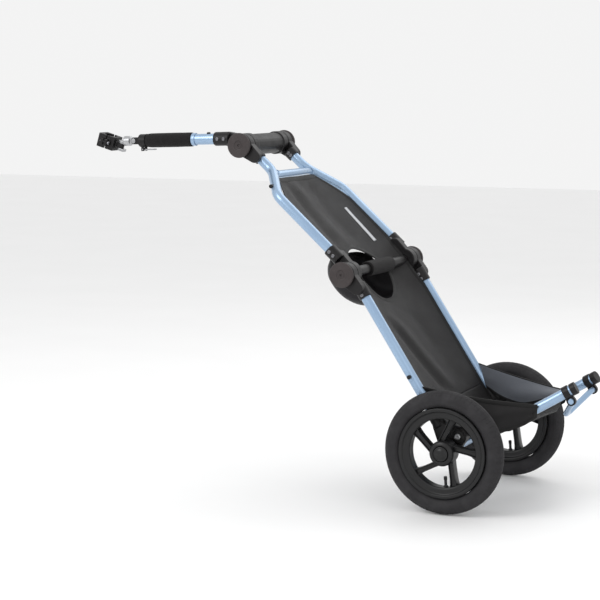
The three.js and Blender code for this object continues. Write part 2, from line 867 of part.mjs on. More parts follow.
// The link turns up and down on the yoke's pin, and holds the clamp's lug between two ears.
const yawEars = [-1, 1].map((ear) => {
  const low = ear < 0 ? -yawEarInner - yawEarThickness : yawEarInner;
  const up = (value) => moved(yawPin, value, postUp);
  return join(
    bar(up(low), up(low + yawEarThickness), hitchEarRadius, 16),
    clampBlock(yawPinReach, yawPinReach + 14, -hitchEarRadius, hitchEarRadius, low, low + yawEarThickness),
  );
});
addPiece('hitch_link', cut(
  join(
    crossBar(pitchPin, -neckHalf - tongueEarHalf, -neckHalf + tongueEarHalf, hitchEarRadius, 16),
    tongueBlock(
      pitchPinPlace,
      linkStart + 1,
      -hitchEarRadius,
      hitchEarRadius,
      -tongueEarHalf,
      tongueEarHalf,
    ),
    bar(tonguePoint(linkStart), linkAxisEnd, linkRadius),
    ...yawEars,
    bar(moved(yawPin, -yawEarInner - 2, postUp), moved(yawPin, yawEarInner + 2, postUp), hitchPinRadius, 12),
  ),
  crossHole(pitchPin, -neckHalf - 20, -neckHalf + 20, hitchPinRadius + runningGap, 12),
), finish.steel);

// The clamp is split across the post, and one bolt draws its ear to the jaw's.
const clampEarWidth = 12;
const boltRadius = 2.5;
const boltY = -clampWidth / 2 - clampEarWidth / 2;
const earReach = 10;
const bore = hole(clampPoint(0, 0, -clampHeight), clampPoint(0, 0, clampHeight), seatPostRadius, 28);
const boltHole = hole(
  clampPoint(-clampDepth, boltY, 0),
  clampPoint(clampDepth, boltY, 0),
  boltRadius + touchGap,
  16,
);
const lugHole = hole(moved(yawPin, -20, postUp), moved(yawPin, 20, postUp), hitchPinRadius + runningGap, 12);
const clampHalf = clampHeight / 2;
addPiece('clamp_body', cut(
  join(
    clampBlock(clampSplit / 2, clampDepth / 2, -clampWidth / 2, clampWidth / 2, -clampHalf, clampHalf),
    clampBlock(clampSplit / 2, earReach, -clampWidth / 2 - clampEarWidth, -clampWidth / 2 + 1, -9, 9),
    clampBlock(clampDepth / 2 - 1, yawPinReach, -hitchEarRadius, hitchEarRadius, -lugHalf, lugHalf),
    bar(moved(yawPin, -lugHalf, postUp), moved(yawPin, lugHalf, postUp), hitchEarRadius, 16),
  ),
  bore.clone(),
  boltHole.clone(),
  lugHole,
), finish.blackPlastic);
addPiece('clamp_jaw', cut(
  join(
    clampBlock(-clampDepth / 2, -clampSplit / 2, -clampWidth / 2, clampWidth / 2, -clampHalf, clampHalf),
    clampBlock(-earReach, -clampSplit / 2, -clampWidth / 2 - clampEarWidth, -clampWidth / 2 + 1, -9, 9),
  ),
  bore,
  boltHole,
), finish.blackPlastic);
addPiece('clamp_bolt', join(
  bar(clampPoint(-earReach - 3, boltY, 0), clampPoint(earReach + 3, boltY, 0), boltRadius, 16),
  bar(clampPoint(earReach + touchGap, boltY, 0), clampPoint(earReach + 5, boltY, 0), boltRadius + 2, 16),
), finish.steel);

// ---------------------------------------------------------------------------
// Load tray: two tubes that come together towards their capped ends
// ---------------------------------------------------------------------------

const trayHubFar = bracketInner - 2;
const trayHubNear = trayHubFar - trayHubThickness;
const trayHubMiddle = (trayHubFar + trayHubNear) / 2;

function forkPoint(x, rise, half, side) {
  return vector(axle.x + x, side * half, axle.z + rise);
}

function forkCorners(side) {
  return [
    forkPoint(trayPivotX, trayPivotRise, trayHubMiddle, side),
    forkPoint(forkCornerX, forkCornerRise, forkCornerHalfWidth, side),
    forkPoint(forkTipX, forkTipRise, forkTipHalfWidth, side),
  ];
}

function forkDirections(side) {
  const [pivot, corner, tip] = forkCorners(side);
  return [corner.clone().sub(pivot).normalize(), tip.clone().sub(corner).normalize()];
}

for (const [sideName, side] of sides) {
  const [pivot, corner, tip] = forkCorners(side);
  const [first, last] = forkDirections(side);
  const tubeStart = moved(pivot, forkSleeveStart + 4, first);
  addPiece(`fork_tube_${sideName}`, bentTube(
    new BentPath([tubeStart, corner, tip], forkBendRadius),
    railRadius,
    railBore,
  ), finish.blueTube);
  const sleeveRadius = railRadius + 3.5;
  addPiece(`tray_hub_${sideName}`, cut(
    join(
      sideBar(trayPivot, side, trayHubNear, trayHubFar, trayHubRadius),
      bar(moved(pivot, 8, first), moved(pivot, forkSleeveEnd, first), trayHubThickness / 2 - 0.5),
      bar(moved(pivot, forkSleeveStart, first), moved(pivot, forkSleeveEnd, first), sleeveRadius),
    ),
    hole(
      moved(pivot, forkSleeveStart + 4 - touchGap, first),
      moved(pivot, forkSleeveEnd + 2, first),
      railRadius + touchGap,
    ),
    sideHole(trayPivot, side, trayHubNear - 3, trayHubFar + 3, pivotPinRadius + runningGap, 12),
  ), finish.blackPlastic);
  addPiece(`fork_cap_${sideName}`, cut(
    bar(moved(tip, -capLength, last), moved(tip, 4, last), railRadius + 3),
    hole(moved(tip, -capLength - 2, last), moved(tip, touchGap, last), railRadius + touchGap),
  ), finish.blackPlastic);
}

// The stand is one bent rod that turns in a lug under each tube.
function standPivot(side) {
  const [, , tip] = forkCorners(side);
  const last = forkDirections(side)[1];
  const down = vector(last.z, 0, -last.x).normalize();
  return moved(tip, -standClampBack, last, standDrop, down);
}

const lugWidth = 12;
const standRingHalf = 8;
for (const [sideName, side] of sides) {
  const [, , tip] = forkCorners(side);
  const last = forkDirections(side)[1];
  const centre = moved(tip, -standClampBack, last);
  const pivot = standPivot(side);
  const lugNear = Math.abs(centre.y) - lugWidth / 2;
  const lug = strap(centre, standRingHalf, pivot, standRodRadius + 4);
  addPiece(`stand_clamp_${sideName}`, cut(
    join(
      bar(moved(centre, -standRingHalf, last), moved(centre, standRingHalf, last), railRadius + 4),
      sidePlate(lug, side, lugNear, lugNear + lugWidth),
    ),
    hole(moved(centre, -14, last), moved(centre, 14, last), railRadius + touchGap),
    sideHole(pivot, side, lugNear - 2, lugNear + lugWidth + 2, standRodRadius + runningGap, 12),
  ), finish.blackPlastic);
}

const standDirection = direction(standAngle);
const standEdge = Math.abs(standPivot(1).y) - lugWidth / 2;
const standCorners = [
  [standEdge + lugWidth + 3, 0],
  [standEdge - 9, 0],
  [standFootHalfWidth, standReach],
  [-standFootHalfWidth, standReach],
  [-standEdge + 9, 0],
  [-standEdge - lugWidth - 3, 0],
].map(([y, reach]) => moved(standPivot(1).setY(y), reach, standDirection));
addPiece('stand', bentTube(new BentPath(standCorners, 9, 3), standRodRadius, 0, 10), finish.blueTube);

// ---------------------------------------------------------------------------
// Fabric
// ---------------------------------------------------------------------------

// A strip of fabric seen along its length: it hangs between two edges, sagging in the middle.
function sagStrip(halfWidth, sag, steps = 12) {
  const depthAt = (y) => sag * (1 - (y / halfWidth) ** 2);
  const points = [];
  for (let i = 0; i <= steps; i += 1) {
    const y = -halfWidth + (2 * halfWidth * i) / steps;
    points.push([y, depthAt(y) + fabricThickness / 2]);
  }
  for (let i = steps; i >= 0; i -= 1) {
    const y = -halfWidth + (2 * halfWidth * i) / steps;
    points.push([y, depthAt(y) - fabricThickness / 2]);
  }
  return polygon(points);
}

function stripAlong(shape, origin, yAxis, depthAxis, lengthAxis, length) {
  const strip = new THREE.ExtrudeGeometry(shape, { depth: length, bevelEnabled: false });
  return inFrame(strip, origin, yAxis, depthAxis, lengthAxis);
}

const panelHalf = railHalf - railRadius - 1.5;
const handHole = (front) => bar(
  moved(midHinge, -60, front),
  moved(midHinge, 60, front),
  handHoleRadius,
  40,
);

// The panels clear the hinge sleeves on the rails.
function sleeveClearances(pointOn, start) {
  const radius = railRadius + armWall + 1.5;
  return [-railHalf, railHalf].map((y) => hole(pointOn(start, y), pointOn(start + armEnd, y), radius));
}

const lowerPanelStart = 40;
const lowerPanelLength = lowerRailReach - panelHingeGap - lowerPanelStart;
addPiece('back_panel_lower', cut(
  stripAlong(
    sagStrip(panelHalf, panelSag),
    lowerPoint(lowerPanelStart, 0),
    acrossAxis,
    lowerFront,
    lowerAlong,
    lowerPanelLength,
  ),
  handHole(lowerFront),
  ...sleeveClearances(lowerPoint, lowerRailReach - armEnd - 2),
), finish.fabric);

// The upper panel's top corners are scooped where the rails lean together.
const upperPanelEnd = crossbarPlace - crossbarRadius - 2;
const railInside = railHalf - (upperPanelEnd - neckBendStart) * leanPerStep - railRadius * leanFactor;
const scoopRadius = panelHalf + 4.5 - railInside;
const scoops = [-1, 1].map((side) => {
  const centre = upperPoint(upperPanelEnd + 4, side * (panelHalf + 4));
  return bar(moved(centre, -60, upperFront), moved(centre, 60, upperFront), scoopRadius, 40);
});
addPiece('back_panel_upper', cut(
  stripAlong(
    sagStrip(panelHalf, panelSag),
    upperPoint(panelHingeGap, 0),
    acrossAxis,
    upperFront,
    upperAlong,
    upperPanelEnd - panelHingeGap,
  ),
  handHole(upperFront),
  ...sleeveClearances(upperPoint, 2),
  ...scoops,
), finish.fabric);

// The pouch hangs in front of the middle hinge, open at its top and to the hand hole behind it.
const pouchOutline = [[-104, 4], [-98, -26], [-78, -58], [-48, -84], [-14, -96], [18, -92], [36, -80]];
const pouchBack = [[10, -40], [-20, -12], [-52, 24], [-92, 26]];

function pouchShape(inset) {
  const centreX = -36;
  const centreZ = -20;
  const shrink = ([x, z]) => {
    const length = Math.hypot(x - centreX, z - centreZ);
    const factor = (length - inset) / length;
    return [midHinge.x + centreX + (x - centreX) * factor, midHinge.z + centreZ + (z - centreZ) * factor];
  };
  const back = pouchBack.map(([x, z]) => [midHinge.x + x + inset * 8, midHinge.z + z + inset * 8]);
  return polygon([...pouchOutline.map(shrink), ...back]);
}

const notch = strap(midHinge, handleRadius, moved(midHinge, 60, direction(45)), handleRadius);
addPiece('storage_pouch', cut(
  plate(pouchShape(0), -pouchHalfWidth, pouchHalfWidth),
  plate(pouchShape(fabricThickness), -pouchHalfWidth + fabricThickness, pouchHalfWidth - fabricThickness),
  plate(notch, -pouchHalfWidth - 2, pouchHalfWidth + 2),
), finish.fabric);

// The tray's floor hangs between its tubes, and its sides close in towards the tips.
const floorAlong = direction(25);
const floorDown = direction(-65);
const floorSag = 22;
const floorDrop = railRadius + 3;
const floorEdge = forkCornerHalfWidth - railRadius - 3;
const floorSlope = (trayHubMiddle - forkCornerHalfWidth) / (forkCornerX - trayPivotX);
const floorStartHalf = trayHubMiddle - railRadius - 5 - trayFloorStart * floorSlope;
const floorStrip = stripAlong(
  sagStrip(floorStartHalf, floorSag),
  moved(trayPivot, floorDrop, floorDown, trayFloorStart, floorAlong),
  acrossAxis.clone().negate(),
  floorDown,
  floorAlong,
  trayFloorEnd - trayFloorStart,
);
const floorOutline = new THREE.ExtrudeGeometry(polygon([
  [trayFloorStart - 5, -floorStartHalf],
  [trayFloorEnd + 5, -floorEdge + 6],
  [trayFloorEnd + 5, floorEdge - 6],
  [trayFloorStart - 5, floorStartHalf],
]), { depth: 120, bevelEnabled: false });
floorOutline.translate(0, 0, -60);
inFrame(
  floorOutline,
  moved(trayPivot, floorDrop, floorDown),
  floorAlong,
  acrossAxis,
  floorDown.clone().negate(),
);
addPiece('tray_floor', common(floorStrip, floorOutline), finish.fabric);

// The gussets close the tray's sides, from the lower rails to the tray's tubes.
const gussetTop = moved(lowerPoint(84, 0), -railRadius - touchGap, lowerFront).sub(axle);
const gussetFoot = moved(lowerPoint(19, 0), -railRadius - 7, lowerFront).sub(axle);
const gussetOutline = [
  [gussetTop.x, gussetTop.z],
  [gussetFoot.x, gussetFoot.z],
  [40, 66],
  [62, 44],
  [136, 44],
  [180, 74],
  [192, 104],
];
const gussetWall = 18;
const gussetRailHalf = railHalf + 3;

function gussetWallGeometry(side) {
  const middle = [
    [-90, gussetRailHalf],
    [44, gussetRailHalf],
    [forkCornerX, forkCornerHalfWidth + gussetWall + 2],
    [forkCornerX + 60, forkCornerHalfWidth + gussetWall - 6],
  ];
  const half = fabricThickness / 2;
  const outline = [
    ...middle.map(([x, y]) => [x, side * (y + half)]),
    ...middle.slice().reverse().map(([x, y]) => [x, side * (y - half)]),
  ];
  return new THREE.ExtrudeGeometry(polygon(outline), { depth: wheelDiameter, bevelEnabled: false });
}

for (const [sideName, side] of sides) {
  const outline = polygon(gussetOutline.map(([x, rise]) => [axle.x + x, axle.z + rise]));
  addPiece(`tray_gusset_${sideName}`, common(
    gussetWallGeometry(side).translate(0, 0, axle.z),
    plate(outline, -wheelHalf, wheelHalf),
  ), finish.greyFabric);
}

// ---------------------------------------------------------------------------
// The whole trailer, moved so that the clamp's bore is at the origin
// ---------------------------------------------------------------------------

const trailer = new THREE.Group();
pieces.position.copy(clampCentre).negate();
trailer.add(pieces);

export default trailer;
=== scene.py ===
import json
import math

import bmesh
import bpy
import numpy as np
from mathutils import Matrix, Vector


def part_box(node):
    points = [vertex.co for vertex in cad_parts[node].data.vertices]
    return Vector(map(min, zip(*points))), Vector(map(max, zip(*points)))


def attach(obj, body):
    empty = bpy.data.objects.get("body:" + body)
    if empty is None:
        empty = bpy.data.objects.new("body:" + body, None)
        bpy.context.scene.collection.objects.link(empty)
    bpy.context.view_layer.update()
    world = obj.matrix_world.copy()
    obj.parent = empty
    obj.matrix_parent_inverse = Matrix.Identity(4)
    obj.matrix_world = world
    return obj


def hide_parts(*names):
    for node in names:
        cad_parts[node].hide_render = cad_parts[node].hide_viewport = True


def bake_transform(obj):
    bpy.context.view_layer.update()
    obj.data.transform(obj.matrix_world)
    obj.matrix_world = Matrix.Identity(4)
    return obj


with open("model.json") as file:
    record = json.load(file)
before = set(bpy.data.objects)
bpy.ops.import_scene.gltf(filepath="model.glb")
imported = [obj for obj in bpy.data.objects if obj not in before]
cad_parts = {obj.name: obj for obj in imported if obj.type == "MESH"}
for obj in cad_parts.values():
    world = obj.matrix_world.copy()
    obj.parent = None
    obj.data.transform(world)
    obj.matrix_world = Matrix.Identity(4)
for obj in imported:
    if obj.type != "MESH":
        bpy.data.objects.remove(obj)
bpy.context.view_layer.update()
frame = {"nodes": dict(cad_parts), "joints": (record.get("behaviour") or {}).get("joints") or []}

# Camera: it stands low on the trailer's rear left, about 4.8 m away, and looks slightly down, along a line
# 25 degrees off the trailer's side. It is placed from the point on the ground below the axle.
pivots = {joint["name"]: np.array(joint["pos_m"]) for joint in frame["joints"] if joint.get("pos_m")}
axle = (pivots["wheel_left_spin"] + pivots["wheel_right_spin"]) / 2
wheel_radius = 0.15
ground = axle - [0, 0, wheel_radius]
view_turn, view_drop = math.radians(24.714), math.radians(6.909)
camera = bpy.data.objects.new("camera", bpy.data.cameras.new("camera"))
bpy.context.collection.objects.link(camera)
camera.location = Vector(ground + [1.534, -4.397, 1.051])
looking = Vector((
    -math.sin(view_turn) * math.cos(view_drop),
    math.cos(view_turn) * math.cos(view_drop),
    -math.sin(view_drop),
))
camera.rotation_euler = looking.to_track_quat("-Z", "Y").to_euler()
camera.data.lens = 113.04
camera.data.sensor_width = 36
bpy.context.scene.camera = camera

# Studio: a wide pale floor under the wheels, an even white surround, and three large soft lamps: one high at
# the front left, one lower at the rear left, and one above the right side.


class Wire:
    """A number carried by a shader socket. Arithmetic on it adds the Math nodes that work it out."""

    def __init__(self, finish, socket):
        self.finish, self.socket = finish, socket

    def maths(self, operation, *values):
        return self.finish.node("ShaderNodeMath", {"operation": operation}, dict(enumerate(values)))

    def of(self, operation):
        return self.maths(operation, self)

    def __add__(self, other):
        return self.maths("ADD", self, other)

    def __sub__(self, other):
        return self.maths("SUBTRACT", self, other)

    def __rsub__(self, other):
        return self.maths("SUBTRACT", other, self)

    def __mul__(self, other):
        return self.maths("MULTIPLY", self, other)

    def __truediv__(self, other):
        return self.maths("DIVIDE", self, other)

    def __pow__(self, other):
        return self.maths("POWER", self, other)

    __radd__, __rmul__ = __add__, __mul__


def rgb(red, green, blue):
    """A display colour, 0 to 255, as linear light: below 10 a straight share, above it a power of 2.4."""
    share = np.array([red, green, blue]) / 255
    linear = np.where(share < 0.04045, share / 12.92, ((share + 0.055) / 1.055) ** 2.4)
    return (*linear.tolist(), 1.0)


class Finish:
    """A procedural material: fixed values go on the shader's own sockets, and `node` adds the rest."""

    def __init__(self, name, **fixed):
        self.material = bpy.data.materials.new(name)
        self.material.use_nodes = True
        self.tree = self.material.node_tree
        self.shader = self.tree.nodes["Principled BSDF"]
        for socket, value in fixed.items():
            self.shader.inputs[socket.replace("_", " ")].default_value = value

    def node(self, kind, settings=None, values=None, output=0):
        made = self.tree.nodes.new(kind)
        for key, value in (settings or {}).items():
            if key == "stops":
                for stop, (place, colour) in zip(made.color_ramp.elements, value):
                    stop.position, stop.color = place, colour
            else:
                setattr(made, key, value)
        for key, value in (values or {}).items():
            if isinstance(value, Wire):
                self.tree.links.new(value.socket, made.inputs[key])
            else:
                made.inputs[key].default_value = value
        return Wire(self, made.outputs[output])

    def place(self, kind="Object"):
        return self.node("ShaderNodeTexCoord", output=kind)

    def cloud(self, scale, detail=3.0, where=None, stretch=(1, 1, 1)):
        """Smooth noise about 0.5, with `scale` lumps to a metre along each axis, times its stretch."""
        moved = self.node("ShaderNodeMapping", {}, {"Vector": where or self.place(), "Scale": stretch})
        return self.node("ShaderNodeTexNoise", {}, {"Vector": moved, "Scale": scale, "Detail": detail})

    def mix(self, share, first, second):
        values = {0: share, 6: first, 7: second}
        return self.node("ShaderNodeMix", {"data_type": "RGBA"}, values, output=2)

    def window(self, value, low, high):
        """0 below `low`, 1 above `high`, and a straight ramp between."""
        return self.node("ShaderNodeMapRange", {}, {0: value, 1: low, 2: high})

    def feed(self, socket, wire):
        self.tree.links.new(wire.socket, self.shader.inputs[socket])
        return self

    def bump(self, height, depth, strength=1.0):
        values = {"Height": height, "Distance": depth, "Strength": strength}
        return self.feed("Normal", self.node("ShaderNodeBump", {}, values))


def grid(rows, columns, wrap_rows=False, wrap_columns=False):
    """The quads between neighbours in a rows by columns grid, whose last line may join its first."""
    i, j = np.meshgrid(
        np.arange(rows if wrap_rows else rows - 1),
        np.arange(columns if wrap_columns else columns - 1),
        indexing="ij",
    )
    i, j = i.ravel(), j.ravel()
    below, beside = (i + 1) % rows, (j + 1) % columns
    corners = [(i, j), (below, j), (below, beside), (i, beside)]
    return np.stack([row * columns + column for row, column in corners], 1)


def make(name, points, quads, finish, uv=None, crease=38):
    """A mesh from whole arrays: points that coincide are merged, faces are turned outwards, and edges that
    bend more than `crease` degrees stay crisp."""
    mesh = bpy.data.meshes.new(name)
    mesh.from_pydata(points.reshape(-1, 3).tolist(), [], quads.tolist())
    if uv is not None:
        layer = mesh.uv_layers.new(name="cloth")
        layer.data.foreach_set("uv", uv.reshape(-1, 2)[quads.ravel()].astype(np.float32).ravel())
    shape = bmesh.new()
    shape.from_mesh(mesh)
    bmesh.ops.remove_doubles(shape, verts=shape.verts, dist=2e-6)
    bmesh.ops.recalc_face_normals(shape, faces=shape.faces)
    shape.to_mesh(mesh)
    shape.free()
    mesh.shade_smooth()
    mesh.set_sharp_from_angle(angle=math.radians(crease))
    mesh.materials.append(finish.material)
    piece = bpy.data.objects.new(name, mesh)
    bpy.context.collection.objects.link(piece)
    return piece


def fit(piece, body, slot, *nodes):
    """The piece rides on a body and stands for the nodes it replaces, which are hidden. The slot is not used.
    """
    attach(piece, body)
    if nodes:
        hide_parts(*nodes)
    return piece


floor_finish = Finish("pale_floor", Roughness=0.6)
tone = floor_finish.mix(floor_finish.cloud(3), rgb(243, 243, 243), rgb(247, 247, 247))
floor_finish.feed("Base Color", tone)
floor_edge = np.linspace(-12, 12, 13)
floor_x, floor_y = np.meshgrid(floor_edge, floor_edge, indexing="ij")
floor_points = np.stack([floor_x, floor_y, np.zeros_like(floor_x)], -1) + ground - [0, 0, 0.0005]
studio_floor = make("studio_floor", floor_points, grid(13, 13), floor_finish)

bpy.context.scene.view_settings.view_transform = "Standard"
world = bpy.data.worlds.new("studio")
bpy.context.scene.world = world
world.use_nodes = True
world.node_tree.nodes["Background"].inputs["Color"].default_value = (1, 1, 1, 1)
world.node_tree.nodes["Background"].inputs["Strength"].default_value = 0.9
for lamp_name, offset, size, power in (
    ("key_lamp", (-1.6, -2.6, 2.6), 1.8, 44),
    ("fill_lamp", (2.4, -2.2, 1.2), 2.2, 8),
    ("top_lamp", (0.4, 1.8, 2.6), 2.4, 22),
):
    lamp = bpy.data.objects.new(lamp_name, bpy.data.lights.new(lamp_name, "AREA"))
    bpy.context.collection.objects.link(lamp)
    lamp.data.energy, lamp.data.size = power, size
    aim = Vector(ground + [-0.35, 0, 0.45])
    lamp.location = Vector(ground + offset)
    lamp.rotation_euler = (aim - lamp.location).to_track_quat("-Z", "Y").to_euler()

# Lower rails: two straight aluminium tubes, 25 mm across with a 1.8 mm wall, that lean 57 degrees from the
# axle brackets up to the middle hinge. They have a light blue satin lacquer with a fine metal flake.
blue_paint = Finish("light_blue_lacquer", Metallic=0.55, Coat_Weight=0.35, Coat_Roughness=0.12)
shade = blue_paint.mix(blue_paint.cloud(9, 4), rgb(134, 160, 190), rgb(156, 182, 208))
flake = blue_paint.window(blue_paint.cloud(5200, 1), 0.62, 0.75)
shade = blue_paint.mix(flake * 0.35, shade, rgb(225, 236, 248))
scuff = blue_paint.window(blue_paint.cloud(55, 6, stretch=(1, 3, 1)), 0.68, 0.76)
blue_paint.feed("Base Color", blue_paint.mix(scuff * 0.35, shade, rgb(120, 140, 160)))
blue_paint.feed("Roughness", blue_paint.cloud(30, 4) * 0.16 + 0.22 + scuff * 0.2)
blue_paint.bump(blue_paint.cloud(420, 2), 0.00006, 0.5)

rail_radius, rail_half = 0.0125, 0.2
rail_bore = rail_radius - 0.0018
rail_inset = 0.041
rail_socket = 0.008
lower_reach = 0.4215
lower_rail_top = lower_reach - rail_inset


def toward(degrees):
    """The unit direction in the upright lengthwise plane, turned up from the rear by an angle."""
    return np.array([math.cos(math.radians(degrees)), 0, math.sin(math.radians(degrees))])


def unit(vectors):
    """Each vector divided by its own length."""
    vectors = np.asarray(vectors, float)
    return vectors / np.linalg.norm(vectors, axis=-1, keepdims=True)


lower_along, lower_front = toward(123), toward(213)
upper_along, upper_front = toward(138), toward(228)
middle_hinge = pivots["mid_hinge_fold"] * [1, 0, 1] + [0, axle[1], 0]
rail_knee = middle_hinge - 0.012 * lower_front


def lower_point(distance, across=0.0, front=0.0):
    """A point at a distance along the lower rails from their foot, across, and forward."""
    return rail_knee + (distance - lower_reach) * lower_along + front * lower_front + [0, across, 0]


def bent(corners, bend, steps=14):
    """The line and its directions through corners, rounded at each by an arc tangent to both straight runs:
    start + R (sin a, along + (1 - cos a), inward) for an angle a from 0 to the corner's turn."""
    corners = np.array(corners, float)
    line, ways = [corners[:1]], [unit(corners[1] - corners[0])[None]]
    for before, corner, after in zip(corners[:-2], corners[1:-1], corners[2:]):
        along, onward = unit(corner - before), unit(after - corner)
        turn = math.acos(np.clip(along @ onward, -1, 1))
        inward = unit(onward - (along @ onward) * along)
        angle = np.linspace(0, turn, steps + 1)[:, None]
        start = corner - bend * math.tan(turn / 2) * along
        line.append(start + bend * (np.sin(angle) * along + (1 - np.cos(angle)) * inward))
        ways.append(np.cos(angle) * along + np.sin(angle) * inward)
    line.append(corners[-1:])
    ways.append(unit(corners[-1] - corners[-2])[None])
    return np.concatenate(line), np.concatenate(ways)


def tube(name, line, ways, radius, finish, bore=0.0, lip=0.0008, around=36):
    """A round tube along a plane line: ring k stands square to the line at its point k. Both ends are rounded
    by a quarter circle, lip (1 - cos a) along and lip sin a out. The bore is the same rings again, smaller."""
    radius = np.broadcast_to(radius, len(line))
    angle = np.linspace(0, np.pi / 2, 4)
    inset, rise = lip * (1 - np.cos(angle)), lip * np.sin(angle) - lip
    first, last = np.zeros(4, int), np.full(4, len(line) - 1)
    order = np.concatenate([first, np.arange(1, len(line) - 1), last])
    shift = np.concatenate([inset, np.zeros(len(line) - 2), -inset[::-1]])
    wide = np.concatenate([radius[0] + rise, radius[1:-1], radius[-1] + rise[::-1]])
    if bore:
        order, shift = np.tile(order, 2), np.tile(shift, 2)
        shift[len(wide):] = shift[len(wide):][::-1]
        order[len(wide):] = order[len(wide):][::-1]
        narrow = np.full(len(wide), bore)
        narrow[:4], narrow[-4:] = bore - rise, bore - rise[::-1]
        wide = np.concatenate([wide, narrow[::-1]])
    else:
        order = np.concatenate([order[:1], order, order[-1:]])
        shift, wide = np.pad(shift, 1), np.pad(wide, 1)
    middle = line[order] + shift[:, None] * ways[order]
    bends = np.cross(ways[:-1], ways[1:])
    sharpest = bends[np.argmax(np.linalg.norm(bends, axis=1))]
    if np.linalg.norm(sharpest) > 1e-6:
        square = unit(sharpest)
    else:
        square = unit(np.cross(ways[0], toward(90) if abs(ways[0][2]) < 0.9 else toward(0)))
    up = np.cross(ways[order], square)
    turn = np.linspace(0, 2 * np.pi, around, endpoint=False)[None, :, None]
    points = middle[:, None] + wide[:, None, None] * (np.cos(turn) * square + np.sin(turn) * up[:, None])
    return make(name, points, grid(len(order), around, bool(bore), True), finish)


sides = (("left", -1), ("right", 1))
for side_name, side in sides:
    ends = [lower_point(distance, side * rail_half) for distance in (-rail_socket, lower_rail_top)]
    line, ways = bent(ends, 0.01)
    rail = tube(f"lower_rail_tube_{side_name}", line, ways, rail_radius, blue_paint, rail_bore)
    fit(rail, "lower_frame", "blue_tube", f"lower_rail_{side_name}")

# Axle and brackets: a steel axle runs in a blue tube between two moulded brackets of glass-filled nylon, each
# with a socket for its rail, a boss for the axle and a pin for the tray. A stud on each rail takes bag loops.
black_plastic = Finish("black_nylon", IOR=1.5, Specular_IOR_Level=0.3)
tint = black_plastic.mix(black_plastic.cloud(14, 4), rgb(14, 13, 14), rgb(23, 21, 22))
worn = black_plastic.window(black_plastic.cloud(70, 6), 0.66, 0.78)
black_plastic.feed("Base Color", black_plastic.mix(worn * 0.4, tint, rgb(44, 42, 43)))
black_plastic.feed("Roughness", black_plastic.cloud(40, 3) * 0.2 + 0.33)
black_plastic.bump(black_plastic.cloud(1500, 3), 0.00015, 0.6)

steel = Finish("plated_steel", Metallic=0.95)
steel.feed("Base Color", steel.mix(steel.cloud(25, 5), rgb(150, 151, 153), rgb(186, 187, 189)))
steel.feed("Roughness", steel.cloud(160, 4, stretch=(1, 6, 1)) * 0.22 + 0.22)
steel.bump(steel.cloud(900, 2, stretch=(1, 8, 1)), 0.00003, 0.5)


fine_grain, medium_grain = (0.0006, 3), (0.0009, 4)


def moulded(node, body, slot, finish, grain=0.0013, rounds=6):
    """A moulded part: the solid's merged copy is laid over with an even mesh of one grain, and each of its
    points then moves half way to its neighbours' middle `rounds` times, which rounds all edges alike."""
    mesh = frame["nodes"][node].data.copy()
    shape = bmesh.new()
    shape.from_mesh(mesh)
    bmesh.ops.remove_doubles(shape, verts=shape.verts, dist=1e-5)
    shape.to_mesh(mesh)
    shape.free()
    draft = bpy.data.objects.new("draft", mesh)
    bpy.context.collection.objects.link(draft)
    cover = draft.modifiers.new("cover", "REMESH")
    cover.mode, cover.voxel_size = "VOXEL", grain
    soften = draft.modifiers.new("soften", "SMOOTH")
    soften.factor, soften.iterations = 0.5, rounds
    seen = draft.evaluated_get(bpy.context.evaluated_depsgraph_get())
    final = bpy.data.meshes.new_from_object(seen)
    bpy.data.objects.remove(draft)
    final.shade_smooth()
    final.materials.clear()
    final.materials.append(finish.material)
    piece = bpy.data.objects.new(f"{node}_moulded", final)
    bpy.context.collection.objects.link(piece)
    return fit(piece, body, slot, node)


def across_bar(name, centre, low, high, radius, finish, bore=0.0, lip=0.0006, around=36):
    """A round bar or sleeve along the axle's direction between two distances from the middle plane."""
    ends = np.array([centre, centre], float)
    ends[:, 1] = axle[1] + np.array([low, high])
    return tube(name, ends, np.array([[0, 1.0, 0]] * 2), radius, finish, bore, lip, around)


fit(across_bar("axle_rod", axle, -0.256, 0.256, 0.006, steel), "lower_frame", "steel", "axle")
axle_sleeve = across_bar("axle_sleeve", axle, -0.1897, 0.1897, 0.011, blue_paint, 0.0066)
fit(axle_sleeve, "lower_frame", "blue_tube", "axle_tube")
for side_name in ("left", "right"):
    moulded(f"axle_bracket_{side_name}", "lower_frame", "black_plastic", black_plastic)
    moulded(f"lower_boss_{side_name}", "lower_frame", "black_plastic", black_plastic, *fine_grain)


def turned(name, centre, axis, outline, finish, around=48, crease=32, wrap=False):
    """A lathe shape: the outline's (radius, distance along the axis) pairs carried round the axis. An outline
    that starts and ends on the axis closes by itself, and a wrapped one is a ring."""
    outline = np.array(outline, float)
    axis = unit(axis)
    square = unit(np.cross(axis, [0, 0, 1.0] if abs(axis[2]) < 0.8 else [1.0, 0, 0]))
    turn = np.linspace(0, 2 * np.pi, around, endpoint=False)[None, :, None]
    ring = np.cos(turn) * square + np.sin(turn) * np.cross(axis, square)
    points = np.asarray(centre) + outline[:, :1, None] * ring + outline[:, 1][:, None, None] * axis
    return make(name, points, grid(len(outline), around, wrap, True), finish, crease=crease)


